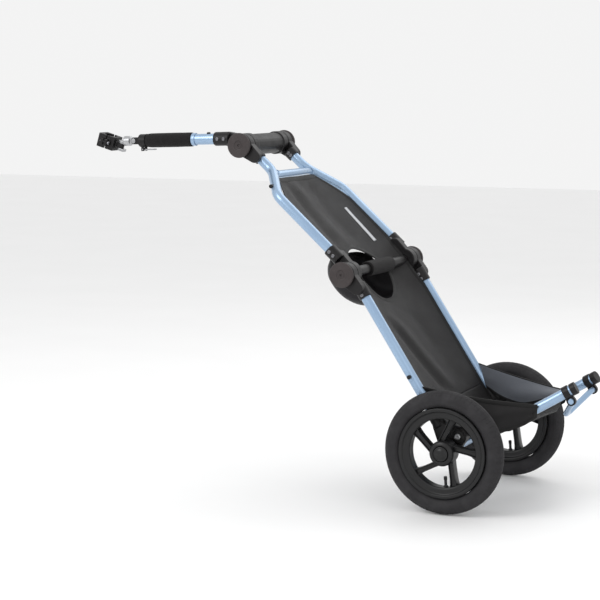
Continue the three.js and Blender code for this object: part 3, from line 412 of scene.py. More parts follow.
def rounded(outline, radius, steps=4, closed=False):
    """The outline with each inner corner replaced by a curve between two points `radius` from it, or a third
    of the way to a nearer neighbour: (1 - t)^2 first + 2 t (1 - t) corner + t^2 last."""
    outline = np.array(outline, float)
    before, after = np.roll(outline, 1, 0), np.roll(outline, -1, 0)
    t = np.linspace(0, 1, steps)[None, :, None]
    reach = [np.linalg.norm(outline - near, axis=1, keepdims=True) for near in (before, after)]
    ends = [
        outline + (near - outline) * np.minimum(radius, length / 3) / np.maximum(length, 1e-9)
        for near, length in zip((before, after), reach)
    ]
    first, corner, last = (points[:, None] for points in (ends[0], outline, ends[1]))
    curve = (1 - t) ** 2 * first + 2 * t * (1 - t) * corner + t**2 * last
    if closed:
        return curve.reshape(-1, 2)
    return np.concatenate([outline[:1], curve[1:-1].reshape(-1, 2), outline[-1:]])


pivot_outline = rounded([
    (0, -0.001), (0.0078, -0.001), (0.0078, 0.0024), (0.006, 0.0034), (0.0032, 0.0034), (0.003, 0.001),
    (0, 0.001),
], 0.0007)
tray_pivot = pivots["tray_fold"] * [1, 0, 1] + [0, axle[1], 0]
for side_name, side in sides:
    centre = tray_pivot + [0, side * 0.2162, 0]
    head = turned(f"tray_pivot_head_{side_name}", centre, (0, side, 0), pivot_outline, steel)
    fit(head, "lower_frame", "steel")

# Middle hinge: the rails fold on two pairs of round moulded halves on one steel shaft. Two bolts with socket
# heads hold each half on its tube, and a dished knob at each end of the shaft frees the lock.
for side_name, side in sides:
    moulded(f"lower_knuckle_{side_name}", "lower_frame", "black_plastic", black_plastic)
    moulded(f"upper_knuckle_{side_name}", "upper_frame", "black_plastic", black_plastic)

dark_steel = Finish("blackened_bolts", Metallic=0.8)
tint = dark_steel.mix(dark_steel.cloud(600, 3), rgb(88, 88, 92), rgb(150, 150, 154))
dark_steel.feed("Base Color", tint)
dark_steel.feed("Roughness", dark_steel.cloud(300, 2) * 0.2 + 0.25)
dark_steel.bump(dark_steel.cloud(2500, 2), 0.00003, 0.4)
screw_outline = rounded([
    (0, -0.001), (0.0046, -0.001), (0.0046, 0.0008), (0.0032, 0.0022), (0.0021, 0.0022), (0.0019, 0.0006),
    (0, 0.0006),
], 0.0004)
screw_sink = 0.0006


def bolt(name, centre, way, body):
    """A bolt's round head with a socket, standing across the frame on a moulded sleeve."""
    fit(turned(name, centre, (0, way, 0), screw_outline, dark_steel, 20), body, "steel")


def upper_point(distance, across=0.0, front=0.0):
    """A point at a distance along the upper rails from the middle hinge, across, and forward."""
    start = middle_hinge - 0.012 * upper_front
    return start + distance * upper_along + front * upper_front + [0, across, 0]


sleeve_radius = rail_radius + 0.004
for side_name, side in sides:
    for place in (0.052, 0.066):
        for face, way in (("out", side), ("in", -side)):
            across = side * rail_half + way * (sleeve_radius - screw_sink)
            tag = f"{side_name}_{face}_{round(place * 1000)}"
            bolt(f"lower_bolt_{tag}", lower_point(lower_reach - place, across), way, "lower_frame")
            bolt(f"upper_bolt_{tag}", upper_point(place, across), way, "upper_frame")

knob_plastic = Finish("warm_grey_knob", IOR=1.47, Specular_IOR_Level=0.3)
tint = knob_plastic.mix(knob_plastic.cloud(40, 4), rgb(50, 45, 45), rgb(66, 60, 60))
knob_plastic.feed("Base Color", tint)
knob_plastic.feed("Roughness", knob_plastic.cloud(90, 3) * 0.2 + 0.42)
knob_plastic.bump(knob_plastic.cloud(1700, 3), 0.00014, 0.6)

knob_face = [
    (0, -0.012), (0.004, -0.012), (0.004, -0.0002), (0.0285, -0.0002), (0.0315, 0.0022), (0.0315, 0.006),
    (0.0296, 0.008),
]
for ring_radius in (0.0278, 0.0248, 0.0218, 0.0188, 0.0158):
    knob_face += [(ring_radius + 0.0005, 0.008), (ring_radius, 0.0076), (ring_radius - 0.0005, 0.008)]
knob_face += [
    (0.0128, 0.008), (0.0112, 0.0062), (0.0075, 0.0055), (0.0065, 0.0068), (0.0036, 0.0068),
    (0.0034, 0.0042), (0, 0.0042),
]
knob_outline = rounded(knob_face, 0.0006, 4)
for side_name, side in sides:
    for hinge in ("mid", "top"):
        low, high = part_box(f"{hinge}_knob_{side_name}")
        face = max(low[1], high[1], key=lambda y: side * y) - side * 0.008
        centre = [(low[0] + high[0]) / 2, face, (low[2] + high[2]) / 2]
        name = f"{hinge}_knob_face_{side_name}"
        knob = turned(name, centre, (0, side, 0), knob_outline, knob_plastic, 72, 50)
        fit(knob, f"{hinge}_knob_{side_name}", "knob_plastic", f"{hinge}_knob_{side_name}")

shaft_radius, shaft_bore = 0.008, 0.0044
shaft = across_bar("mid_hinge_rod", middle_hinge, -0.224, 0.224, shaft_radius, steel, shaft_bore)
fit(shaft, "lower_frame", "steel", "mid_hinge_shaft")
for side_name, side in sides:
    ends = sorted((side * 0.0755, side * 0.1735))
    name = f"handle_spacer_{side_name}"
    spacer = across_bar(name, middle_hinge, *ends, 0.0125, black_plastic, 0.0083, 0.001)
    fit(spacer, "lower_frame", "black_plastic")

# Carry handle: a 150 mm sleeve of closed-cell foam on the middle hinge's shaft, a little fuller in the
# middle than at its ends, where it is cut square and its edges are worn round.
foam = Finish("black_foam", Sheen_Weight=0.05, Specular_IOR_Level=0.2, Sheen_Roughness=0.5)
foam.feed("Base Color", foam.mix(foam.cloud(120, 5), rgb(16, 15, 15), rgb(32, 30, 31)))
foam.feed("Roughness", foam.cloud(200, 3) * 0.15 + 0.8)
cells = foam.node("ShaderNodeTexVoronoi", {}, {"Vector": foam.place(), "Scale": 1100.0})
foam.bump(cells + foam.cloud(600, 3) * 0.6, 0.00035, 0.8)


def foam_sleeve(name, start, end, radius, bore, body, node, taper=0.0):
    """A foam sleeve: radius times (1 + 2% of a half sine along it), less a taper near its far end."""
    share = np.linspace(0, 1, 41)
    line = np.asarray(start) + share[:, None] * (np.asarray(end) - np.asarray(start))
    ways = np.repeat(unit(line[-1] - line[0])[None], 41, 0)
    full = radius * (0.98 + 0.02 * np.sin(np.pi * share) + 0.006 * np.sin(23 * share) * np.sin(7 * share))
    full -= taper * np.clip((share - 0.88) / 0.12, 0, 1) ** 2
    piece = tube(name, line, ways, np.minimum(full, radius), foam, bore, 0.003, 48)
    return fit(piece, body, "foam", node)


foam_sleeve(
    "carry_handle_foam", middle_hinge + [0, -0.075, 0], middle_hinge + [0, 0.075, 0], 0.019, 0.0083,
    "lower_frame", "carry_handle",
)

# Upper rails: two tubes go on from the middle hinge at 42 degrees, lean together from 400 to 200 mm apart
# below the top hinge, and are welded to a round crossbar there.
neck_half, neck_start, neck_end, upper_reach = 0.1, 0.262, 0.345, 0.446
crossbar_place = 0.332
for side_name, side in sides:
    line, ways = bent([
        upper_point(rail_inset, side * rail_half),
        upper_point(neck_start, side * rail_half),
        upper_point(neck_end, side * neck_half),
        upper_point(upper_reach - rail_inset, side * neck_half),
    ], 0.042)
    rail = tube(f"upper_rail_tube_{side_name}", line, ways, rail_radius, blue_paint, rail_bore)
    fit(rail, "upper_frame", "blue_tube", f"upper_rail_{side_name}")
    moulded(f"upper_boss_{side_name}", "upper_frame", "black_plastic", black_plastic, *fine_grain)
crossbar_half = rail_half - (crossbar_place - neck_start) * (rail_half - neck_half) / (neck_end - neck_start)
coped_half = crossbar_half - 0.006
crossbar = across_bar(
    "crossbar_tube", upper_point(crossbar_place), -coped_half, coped_half, 0.01, blue_paint,
)
fit(crossbar, "upper_frame", "blue_tube", "crossbar")

# Weld beads: where the crossbar meets each leaning rail, a rippled ring of filler closes the joint under the
# lacquer. The ring's own thickness swells and narrows about thirty times round the bar.
lean = unit(upper_point(neck_end, neck_half) - upper_point(neck_start, rail_half))
for side_name, side in sides:
    around = np.linspace(0, 2 * np.pi, 120, endpoint=False)[:, None]
    tilt = np.array([0, side, 0.0])
    edge = upper_point(crossbar_place, side * (crossbar_half - rail_radius * 1.32))
    spoke = np.cos(around) * upper_front + np.sin(around) * upper_along
    reach = 0.0102 * spoke - tilt * 0.0102 * (spoke @ upper_along)[:, None] * abs(lean[1]) * 1.2
    centre = edge + reach
    small = np.linspace(0, 2 * np.pi, 10, endpoint=False)[None, :, None]
    thick = 0.0019 * (1 + 0.16 * np.sin(30 * around))[:, None]
    points = centre[:, None] + thick * (np.cos(small) * spoke[:, None] + np.sin(small) * tilt)
    bead = make(f"weld_bead_{side_name}", points, grid(120, 10, True, True), blue_paint)
    fit(bead, "upper_frame", "blue_tube")

# Top hinge: outer halves on the rails, the tongue's socket between them on the left, and a barrel across to
# the right half. The same bolts and knobs as at the middle hinge.
top_hinge = pivots["top_hinge_fold"] * [1, 0, 1] + [0, axle[1], 0]
for side_name in ("left", "right"):
    moulded(f"top_knuckle_{side_name}", "upper_frame", "black_plastic", black_plastic)
moulded("tongue_socket", "tongue", "black_plastic", black_plastic)
moulded("top_barrel", "tongue", "black_plastic", black_plastic)
shaft = across_bar("top_hinge_rod", top_hinge, -0.124, 0.124, shaft_radius, steel, shaft_bore)
fit(shaft, "upper_frame", "steel", "top_hinge_shaft")
for side_name, side in sides:
    for place in (0.044, 0.053):
        for face, way in (("out", side), ("in", -side)):
            centre = upper_point(upper_reach - place, side * neck_half + way * (sleeve_radius - screw_sink))
            bolt(f"top_bolt_{side_name}_{face}_{round(place * 1000)}", centre, way, "upper_frame")

# Tongue: a blue tube, 28 mm across, in the socket on the left side, with a collar, a locking button on top
# and a long foam grip that narrows where it meets the hitch.
tongue_along, tongue_up = toward(182), toward(92)
tongue_radius = 0.014


def tongue_point(distance, rise=0.0, across=0.0):
    """A point along the tongue's axis from the top hinge, above it, and across from it."""
    side_step = [0, axle[1] - neck_half + across, 0]
    return top_hinge * [1, 0, 1] + side_step + (0.017 + rise) * tongue_up + distance * tongue_along


line = np.array([tongue_point(0.044), tongue_point(0.30)])
ways = np.array([tongue_along] * 2)
tongue = tube("tongue_tube_blue", line, ways, tongue_radius, blue_paint, tongue_radius - 0.002)
fit(tongue, "tongue", "blue_tube", "tongue_tube")
collar_outline = rounded([
    (0.0142, 0), (0.0165, 0), (0.0165, 0.0097), (0.0142, 0.0097),
], 0.001, closed=True)
collar = turned(
    "tongue_collar", tongue_point(0.138), tongue_along, collar_outline, blue_paint, 48, wrap=True,
)
fit(collar, "tongue", "blue_tube")
button_outline = rounded([
    (0, -0.010), (0.005, -0.010), (0.005, 0.0035), (0.0036, 0.0048), (0, 0.005),
], 0.0008)
button = turned(
    "snap_button_head", tongue_point(0.102, 0.0128), tongue_up, button_outline, black_plastic, 32,
)
fit(button, "snap_button", "black_plastic", "snap_button")
foam_sleeve(
    "tongue_grip_foam", tongue_point(0.148), tongue_point(0.283), 0.0185, tongue_radius + 0.0003,
    "tongue", "tongue_grip", 0.0022,
)
for place in (0.052, 0.070):
    for way in (-1, 1):
        centre = tongue_point(place, 0, way * (tongue_radius + 0.0036))
        bolt(f"socket_bolt_{way + 1}_{round(place * 1000)}", centre, way, "tongue")

# Hitch: a yoke on the tongue's end holds a satin aluminium link on a cross pin, and the link holds the black
# clamp that closes round the seat post with one bolt. A small plated lever under the yoke frees it.
moulded("hitch_yoke", "tongue", "black_plastic", black_plastic, *medium_grain)
moulded("pitch_pin", "tongue", "steel", steel, *fine_grain)
moulded("release_lever", "release_lever", "steel", steel, *fine_grain)
moulded("hitch_link", "hitch_link", "steel", steel, *medium_grain)
moulded("clamp_body", "seatpost_clamp", "black_plastic", black_plastic, *medium_grain)
moulded("clamp_jaw", "seatpost_clamp", "black_plastic", black_plastic, *medium_grain)
moulded("clamp_bolt", "seatpost_clamp", "steel", dark_steel, *fine_grain)

# Wheels: a black moulded composite wheel with a raised outer flange, five ribbed spokes that all lean the
# same way round, a domed release button, and a 47-203 tyre with small shoulder blocks and fine cuts.
tyre_rubber = Finish("dark_tyre_rubber", IOR=1.5, Specular_IOR_Level=0.3)
where = tyre_rubber.place()
dust = tyre_rubber.window(tyre_rubber.cloud(26, 6, where), 0.45, 0.75)
tint = tyre_rubber.mix(tyre_rubber.cloud(60, 4, where), rgb(30, 29, 31), rgb(43, 42, 44))
tyre_rubber.feed("Base Color", tyre_rubber.mix(dust * 0.4, tint, rgb(60, 59, 61)))
tyre_rubber.feed("Roughness", tyre_rubber.cloud(80, 3, where) * 0.2 + 0.62)
tyre_rubber.bump(tyre_rubber.cloud(1800, 3, where), 0.0002, 0.6)

wheel_plastic = Finish("wheel_composite", IOR=1.5, Specular_IOR_Level=0.35)
tint = wheel_plastic.mix(wheel_plastic.cloud(18, 4), rgb(15, 15, 16), rgb(24, 24, 25))
wheel_plastic.feed("Base Color", tint)
wheel_plastic.feed("Roughness", wheel_plastic.cloud(30, 3) * 0.18 + 0.27)
wheel_plastic.bump(wheel_plastic.cloud(1300, 2), 0.00008, 0.5)

tyre_radius, flange_radius, rim_radius = 0.0225, 0.110, 0.083
tyre_middle = wheel_radius - tyre_radius
bead_angle, tread_blocks = 139.6, 72
rim_outline = rounded([
    (rim_radius, -0.013), (0.087, -0.0155), (0.0985, -0.0165), (0.1015, -0.0212), (0.1085, -0.0212),
    (flange_radius, -0.018), (flange_radius, -0.0125), (0.1, -0.0065),
    (0.1, 0.0065), (flange_radius, 0.0125), (flange_radius, 0.018),
    (0.1085, 0.0212), (0.1015, 0.0212), (0.0985, 0.0165), (0.087, 0.0155), (rim_radius, 0.013),
], 0.003, 4, True)
hub_outline = rounded([
    (0.0066, -0.0248), (0.022, -0.0248), (0.0262, -0.022), (0.031, -0.019), (0.031, 0.017), (0.0285, 0.0215),
    (0.0235, 0.0248), (0.0195, 0.0248), (0.0186, 0.0215), (0.0184, 0.014), (0.0066, 0.0135),
], 0.0012, 4, True)
button_dome = rounded([
    (0, -0.0062), (0.0178, -0.0062), (0.018, 0.0), (0.0176, 0.0016), (0.0155, 0.0030), (0.0142, 0.0024),
    (0.0128, 0.0034), (0.0092, 0.0052), (0.0045, 0.0062), (0, 0.0064),
], 0.0008)


def tyre(name, centre):
    """A tyre: the section's angle runs bead to bead and the other goes round the wheel. The radius drops by
    0.9 mm in the two grooves, between the shoulder blocks and in the slanting cuts across the crown."""
    section = np.radians(np.linspace(-bead_angle, bead_angle, 65))[:, None]
    around = np.linspace(0, 2 * np.pi, 12 * tread_blocks, endpoint=False)[None]
    width = np.abs(np.degrees(section))
    crown = np.clip(1 - width / 46, 0, 1)
    grooves = np.exp(-(((width - 17) / 2.6) ** 2)) + np.exp(-(((width - 41) / 3.0) ** 2))
    blocks = np.clip(np.cos(tread_blocks * around + 0.6 * np.sign(section)) * 4 - 2.6, 0, 1)
    blocks = blocks * ((width > 22) & (width < 62))
    cuts = np.clip(np.cos(tread_blocks * around + section * 9) * 5 - 4.1, 0, 1) * (width < 15)
    drop = 0.0009 * np.clip(grooves + blocks + cuts, 0, 1) * np.clip((66 - width) / 6, 0, 1)
    rib = 0.0005 * np.exp(-(((width - 84) / 2.2) ** 2)) + 0.0004 * np.exp(-(((width - 112) / 3.5) ** 2))
    thick = tyre_radius - 0.0006 - drop + rib + 0.0004 * crown
    outer = np.stack([tyre_middle + thick * np.cos(section), thick * np.sin(section) + 0 * around], -1)
    inner_radius = tyre_radius - 0.004
    inner = np.stack([
        tyre_middle + inner_radius * np.cos(section[::-4]) + 0 * around,
        inner_radius * np.sin(section[::-4]) + 0 * around,
    ], -1)
    ring = np.concatenate([outer, inner])
    points = np.stack([
        ring[..., 0] * np.cos(around), ring[..., 1], ring[..., 0] * np.sin(around),
    ], -1) + centre
    return make(name, points, grid(*ring.shape[:2], True, True), tyre_rubber, crease=50)


def spokes(name, centre, side):
    """Five spokes: a section with a raised rib along both edges, carried from the hub to the rim. It flares
    towards both ends, and each spoke starts off the hub's middle, 72 degrees from the last."""
    share = np.linspace(0, 1, 13)[:, None]
    distance = 0.012 + share * (0.0865 - 0.012)
    rim_flare = 0.55 * np.clip((share - 0.62) / 0.38, 0, 1) ** 2
    flare = 1 + rim_flare + 0.25 * np.clip((0.25 - share) / 0.25, 0, 1) ** 2
    outline = rounded([
        (-0.0066, -0.0098), (-0.0048, -0.0098), (-0.0036, -0.0058), (0.0036, -0.0058), (0.0048, -0.0098),
        (0.0066, -0.0098), (0.0066, 0.0098), (0.0048, 0.0098), (0.0036, 0.0058), (-0.0036, 0.0058),
        (-0.0048, 0.0098), (-0.0066, 0.0098),
    ], 0.0006, 3, True)
    across, depth = outline[None, :, 0] * flare, outline[None, :, 1] * (1.16 + 0.1 * share)
    lean = 0.017 + across
    quads, points = [], []
    for turn in range(5):
        angle = math.radians(-9.5 + 72 * turn)
        out = np.array([math.cos(angle), 0, math.sin(angle)])
        left = np.array([-math.sin(angle), 0, math.cos(angle)])
        quads.append(grid(13, len(outline), False, True) + turn * 13 * len(outline))
        points.append(
            distance[..., None] * out + lean[..., None] * left + depth[..., None] * [0, side, 0] + centre
        )
    return make(name, np.concatenate(points), np.concatenate(quads), wheel_plastic, crease=28)


valve_outline = rounded([
    (0, 0), (0.0062, 0), (0.0052, 0.003), (0.0034, 0.005), (0.0034, 0.017), (0.0041, 0.0175),
    (0.0041, 0.0245), (0.0034, 0.026), (0, 0.026),
], 0.0006)
valve_way = toward(94)
for side_name, side in sides:
    body = f"wheel_{side_name}"
    centre = pivots[f"wheel_{side_name}_spin"]
    fit(tyre(f"tyre_rubber_{side_name}", centre), body, "tyre", f"tyre_{side_name}")
    rim = turned(f"rim_{side_name}", centre, (0, 1, 0), rim_outline, wheel_plastic, 144, wrap=True)
    fit(rim, body, "wheel_plastic", f"wheel_{side_name}")
    hub = turned(f"hub_{side_name}", centre, (0, side, 0), hub_outline, wheel_plastic, 72, wrap=True)
    fit(hub, body, "wheel_plastic")
    fit(spokes(f"spokes_{side_name}", centre, side), body, "wheel_plastic")
    low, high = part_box(f"hub_button_{side_name}")
    face = [centre[0], (low[1] + high[1]) / 2 + side * 0.0005, centre[2]]
    dome = turned(f"hub_button_dome_{side_name}", face, (0, side, 0), button_dome, wheel_plastic, 60, 60)
    fit(dome, f"hub_button_{side_name}", "wheel_plastic", f"hub_button_{side_name}")
    root = centre - (rim_radius + 0.0005) * valve_way
    valve = turned(f"valve_{side_name}", root, valve_way, valve_outline, tyre_rubber, 24)
    fit(valve, body, "tyre")

# Tray: two blue tubes turn on the brackets' pins, come together in a round bend and end in black caps. Each
# is held in a moulded hub, and carries a moulded lug for the stand.
for side_name, side in sides:
    pivot = tray_pivot + [0, side * 0.18, 0]
    corner = axle + [0.172, side * 0.104, 0.09]
    tip = axle + [0.274, side * 0.09, 0.151]
    first = unit(corner - pivot)
    line, ways = bent([pivot + 0.027 * first, corner, tip], 0.09, 20)
    fork = tube(f"fork_tube_blue_{side_name}", line, ways, rail_radius, blue_paint, rail_bore)
    fit(fork, "tray", "blue_tube", f"fork_tube_{side_name}")
    moulded(f"tray_hub_{side_name}", "tray", "black_plastic", black_plastic)
    moulded(f"fork_cap_{side_name}", "tray", "black_plastic", black_plastic, *medium_grain)
    moulded(f"stand_clamp_{side_name}", "tray", "black_plastic", black_plastic, *medium_grain)

# Stand: one blue rod, bent to a V with a flat foot, that turns in the lugs under the tray.
stand_pivot = pivots["stand_fold"] * [1, 0, 1] + [0, axle[1], 0]
stand_low, stand_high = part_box("stand")
stand_half, stand_way, stand_reach = (stand_high[1] - stand_low[1]) / 2, toward(231), 0.06
stand_corners = [
    stand_pivot + [0, across, 0] + reach * stand_way
    for across, reach in (
        (stand_half, 0), (stand_half - 0.024, 0), (0.012, stand_reach),
        (-0.012, stand_reach), (0.024 - stand_half, 0), (-stand_half, 0),
    )
]
line, ways = bent(stand_corners, 0.009, 10)
fit(tube("stand_rod", line, ways, 0.007, blue_paint, lip=0.0015, around=28), "stand", "blue_tube", "stand")

# Back sheet: one length of black coated polyester, held along the rails and the crossbar, that hangs a
# little forward in soft lengthwise folds. Its hand hole and its free edges are bound in black tape.


def woven(name, dark, light, thread=0.0007):
    """Coated plain weave on the cloth's own flat size in metres: |sin| of both thread counts, multiplied."""
    cloth = Finish(name, Sheen_Weight=0.08, Sheen_Roughness=0.4, IOR=1.45, Specular_IOR_Level=0.3)
    flat = cloth.node("ShaderNodeUVMap", {"uv_map": "cloth"})
    across, along = (cloth.node("ShaderNodeSeparateXYZ", {}, {0: flat}, axis) for axis in (0, 1))
    count = math.pi / thread
    weave = ((across * count).of("SINE") * (along * count).of("SINE")).of("ABSOLUTE")
    cloudy = cloth.cloud(7, 5, flat)
    fleck = cloth.cloud(900, 2, flat)
    cloth.feed("Base Color", cloth.mix(cloudy * 0.75 + weave * 0.25, dark, light))
    cloth.feed("Roughness", cloth.cloud(24, 4, flat) * 0.2 + 0.42 + fleck * 0.06)
    return cloth.bump(weave + cloth.cloud(160, 4, flat) * 1.2, 0.00022, 0.6)


black_cloth = woven("black_coated_cloth", rgb(15, 14, 15), rgb(25, 23, 24))
black_tape = woven("black_binding_tape", rgb(7, 7, 7), rgb(15, 14, 14), 0.0012)

cloth_half = rail_half - rail_radius - 0.001
sheet_top = 0.3205
sheet_foot = 0.040
fold_line = lower_reach


def smooth(value, low, high):
    """0 below low, 1 above high, 3 t^2 - 2 t^3 between."""
    t = np.clip((value - low) / (high - low), 0, 1)
    return t * t * (3 - 2 * t)


def half_width(length):
    """Half the sheet's width at a length along the rails: it steps in by 17 mm past the middle hinge's hubs,
    and curves in below the crossbar, where the rails lean together."""
    from_hinge = np.abs(length - fold_line)
    upper = length - fold_line
    past_hub = 0.0175 * (1 - smooth(from_hinge, 0.034, 0.092))
    lean_in = 0.0815 * np.clip((upper - 0.222) / (sheet_top - 0.222), 0, 1) ** 1.3
    return cloth_half - past_hub - lean_in


def sheet_place(length, across):
    """The sheet's place: on the rails' line, rounded over the hinge, and forward by sag (1 - |y / half|^2.4)
    plus three long folds above the hinge and three below, each a ridge exp(-((y - its line) / width)^2)."""
    length, across = np.broadcast_arrays(np.asarray(length, float), np.asarray(across, float))
    past = length - fold_line
    turn = 0.05
    bendy = np.where(np.abs(past) < turn, (past + turn) ** 2 / (4 * turn), np.maximum(past, 0))
    line = rail_knee + (past - bendy)[..., None] * lower_along + bendy[..., None] * upper_along
    share = smooth(past, -turn, turn)[..., None]
    front = unit((1 - share) * lower_front + share * upper_front)
    edge = np.clip(np.abs(across) / half_width(length), 0, 1)
    top_share = np.clip((sheet_top - past) / 0.2, 0, 1)
    sag = (0.025 + 0.012 * np.exp(-((past / 0.1) ** 2))) * (1 - (1 - top_share) ** 2)
    sag = sag * (1 - smooth(-past, 0.24, 0.40)) + 0.022 * smooth(-past, 0.24, 0.40)
    held = 1 - edge**2.4
    folds = 0
    for height, middle, slant, width, low, high in (
        (0.0050, -0.072, 0.10, 0.020, 0.03, 0.12),
        (-0.0040, -0.020, 0.16, 0.024, 0.05, 0.15),
        (0.0038, 0.050, 0.06, 0.026, 0.08, 0.16),
    ):
        ridge = np.exp(-(((across - middle + slant * (past - 0.2)) / width) ** 2))
        folds = folds + height * ridge * smooth(past, low, high)
    folds = folds * (1 - smooth(past, 0.27, 0.32))
    for height, middle, slant, width in (
        (0.0060, -0.045, 0.42, 0.022),
        (-0.0050, -0.005, 0.46, 0.026),
        (0.0035, 0.090, 0.20, 0.030),
    ):
        ridge = np.exp(-(((across - middle + slant * (past + 0.25)) / width) ** 2))
        folds = folds + height * ridge * smooth(-past, 0.10, 0.18)
    small = 0.0006 * np.sin(41 * across + 23 * past) * np.sin(19 * past + 1.3)
    forward = (sag + folds * (1 - smooth(-past, 0.33, 0.38)) + small) * held
    return line + forward[..., None] * front + np.stack([0 * across, across, 0 * across], -1)


hole_radius = 0.086
hole_share, block = 0.64, 0.118
edge_columns, foot_rows, block_lines = 14, 66, 49
columns = np.concatenate([
    -1 + (1 - hole_share) * np.linspace(0, 1, edge_columns),
    np.linspace(-hole_share, hole_share, block_lines)[1:-1],
    1 - (1 - hole_share) * np.linspace(1, 0, edge_columns),
])
rows = np.concatenate([
    np.linspace(sheet_foot, fold_line - block, foot_rows),
    np.linspace(fold_line - block, fold_line + block, block_lines)[1:-1],
    np.linspace(fold_line + block, fold_line + sheet_top, 54),
])
row_grid, share_grid = np.meshgrid(rows, columns, indexing="ij")
flat = np.stack([share_grid * half_width(row_grid), row_grid], -1)
quads = grid(len(rows), len(columns))
i, j = quads[:, 0] // len(columns), quads[:, 0] % len(columns)
i0, j0 = foot_rows - 1, edge_columns - 1
i1, j1 = i0 + block_lines - 1, j0 + block_lines - 1
quads = quads[~((i >= i0) & (i < i1) & (j >= j0) & (j < j1))]
rim_flat = np.concatenate([
    flat[i0, j0:j1], flat[i0:i1, j1], flat[i1, j1:j0:-1], flat[i1:i0:-1, j0],
])
from_middle = rim_flat - [0, fold_line]
circle = hole_radius * unit(from_middle) + [0, fold_line]
inward_share = np.linspace(0, 1, 9)[:, None, None]
patch = rim_flat + inward_share * (circle - rim_flat)
patch_quads = grid(9, len(rim_flat), False, True)[:, ::-1] + len(rows) * len(columns)
flat_all = np.concatenate([flat.reshape(-1, 2), patch.reshape(-1, 2)])
quads = np.concatenate([quads, patch_quads])


def sheet_piece(name, points, quads, finish, uv, wall=0.0012):
    """A sheet with its own wall: the modifier thickens it evenly to both sides."""
    piece = make(name, points, quads, finish, uv, 60)
    thicken = piece.modifiers.new("wall", "SOLIDIFY")
    thicken.thickness, thicken.offset = wall, 0
    return piece


back_sheet = sheet_piece(
    "back_sheet", sheet_place(flat_all[:, 1], flat_all[:, 0]), quads, black_cloth, flat_all,
)
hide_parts("back_panel_lower", "back_panel_upper")
hinge_start, hinge_end = lower_point(lower_reach - 0.075), upper_point(0.075)
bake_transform(back_sheet)


def tape(name, line, into, normal, finish, closed=False, reach=0.009, thick=0.0012):
    """Binding folded over an edge: a flat loop, `reach` deep and rounded at the edge, carried along it."""
    angle = np.linspace(-np.pi / 2, np.pi / 2, 7)
    bulge = np.stack([-0.0008 - thick * np.cos(angle), thick * np.sin(angle)], 1)
    inner_edge = [
        (reach - 0.001, thick), (reach, thick * 0.6), (reach, -thick * 0.6), (reach - 0.001, -thick),
    ]
    loop = np.concatenate([bulge, inner_edge])
    points = line[:, None] + loop[None, :, :1] * into[:, None] + loop[None, :, 1:] * normal[:, None]
    quads = grid(len(line), len(loop), closed, True)
    run = np.concatenate([[0], np.cumsum(np.linalg.norm(np.diff(line, axis=0), axis=1))])
    around = np.cumsum(np.linalg.norm(np.diff(loop, axis=0, prepend=loop[:1]), axis=1))
    uv = np.stack(np.meshgrid(run, around, indexing="ij"), -1)
    return make(name, points, quads, finish, uv, 50)


def edge_tape(name, place, edge, inside, finish, closed=False, reach=0.009):
    """Tape along an edge given as flat points, with the flat step that leads into the cloth."""
    line = place(edge[:, 1], edge[:, 0])
    step = 0.004 * unit(inside)
    into = unit(place(edge[:, 1] + step[:, 1], edge[:, 0] + step[:, 0]) - line)
    along = np.gradient(line, axis=0) if not closed else np.roll(line, -1, 0) - np.roll(line, 1, 0)
    return tape(name, line, into, unit(np.cross(along, into)), finish, closed, reach)


turn = np.linspace(0, 2 * np.pi, 128, endpoint=False)
ring = np.stack([np.cos(turn), np.sin(turn)], 1)
hole_edge = [0, fold_line] + hole_radius * ring
tapes = [edge_tape("hand_hole_tape", sheet_place, hole_edge, ring, black_tape, True)]
for side_name, side in sides:
    run = np.linspace(sheet_foot, fold_line + sheet_top, 150)
    edge = np.stack([side * half_width(run), run], 1)
    inside = np.array([[-side, 0.0]] * 150)
    tapes.append(edge_tape(f"side_tape_{side_name}", sheet_place, edge, inside, black_tape))
across = np.linspace(-1, 1, 40) * half_width(fold_line + sheet_top)
edge = np.stack([across, np.full(40, fold_line + sheet_top)], 1)
inside = np.array([[0, -1.0]] * 40)
tapes.append(edge_tape("top_tape", sheet_place, edge, inside, black_tape, reach=0.012))
for piece in tapes:
    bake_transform(piece)

# Painted highlight: a narrow light silver-grey strip near the right edge of the upper sheet, laid just off the
# cloth, stands in for a soft band of sheen there.
strip_across, strip_along = np.meshgrid(np.linspace(0.128, 0.140, 4), np.linspace(0.085, 0.205, 40))
strip_flat = np.stack([strip_across, strip_along + fold_line], -1)
strip_points = sheet_place(strip_flat[..., 1], strip_flat[..., 0]) - 0.0011 * upper_front
# Painted highlight: this finish's light silver-grey colour, with its fine speckle, stands in for sheen on the
# black cloth.
painted_highlight = Finish("painted_highlight_band", Metallic=0.3)
flat = painted_highlight.node("ShaderNodeUVMap", {"uv_map": "cloth"})
highlight_speckle = painted_highlight.node("ShaderNodeTexVoronoi", {}, {"Vector": flat, "Scale": 1500.0})
painted_highlight.feed("Base Color", painted_highlight.mix(highlight_speckle, rgb(196, 198, 201), rgb(160, 162, 166)))
painted_highlight.feed("Roughness", highlight_speckle * 0.2 + 0.35)
painted_highlight.bump(highlight_speckle, 0.0001, 0.5)
# The painted highlight strip: a thin sheet just off the upper cloth.
strip = sheet_piece("painted_highlight_strip", strip_points, grid(40, 4), painted_highlight, strip_flat, 0.0005)
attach(strip, "upper_frame")

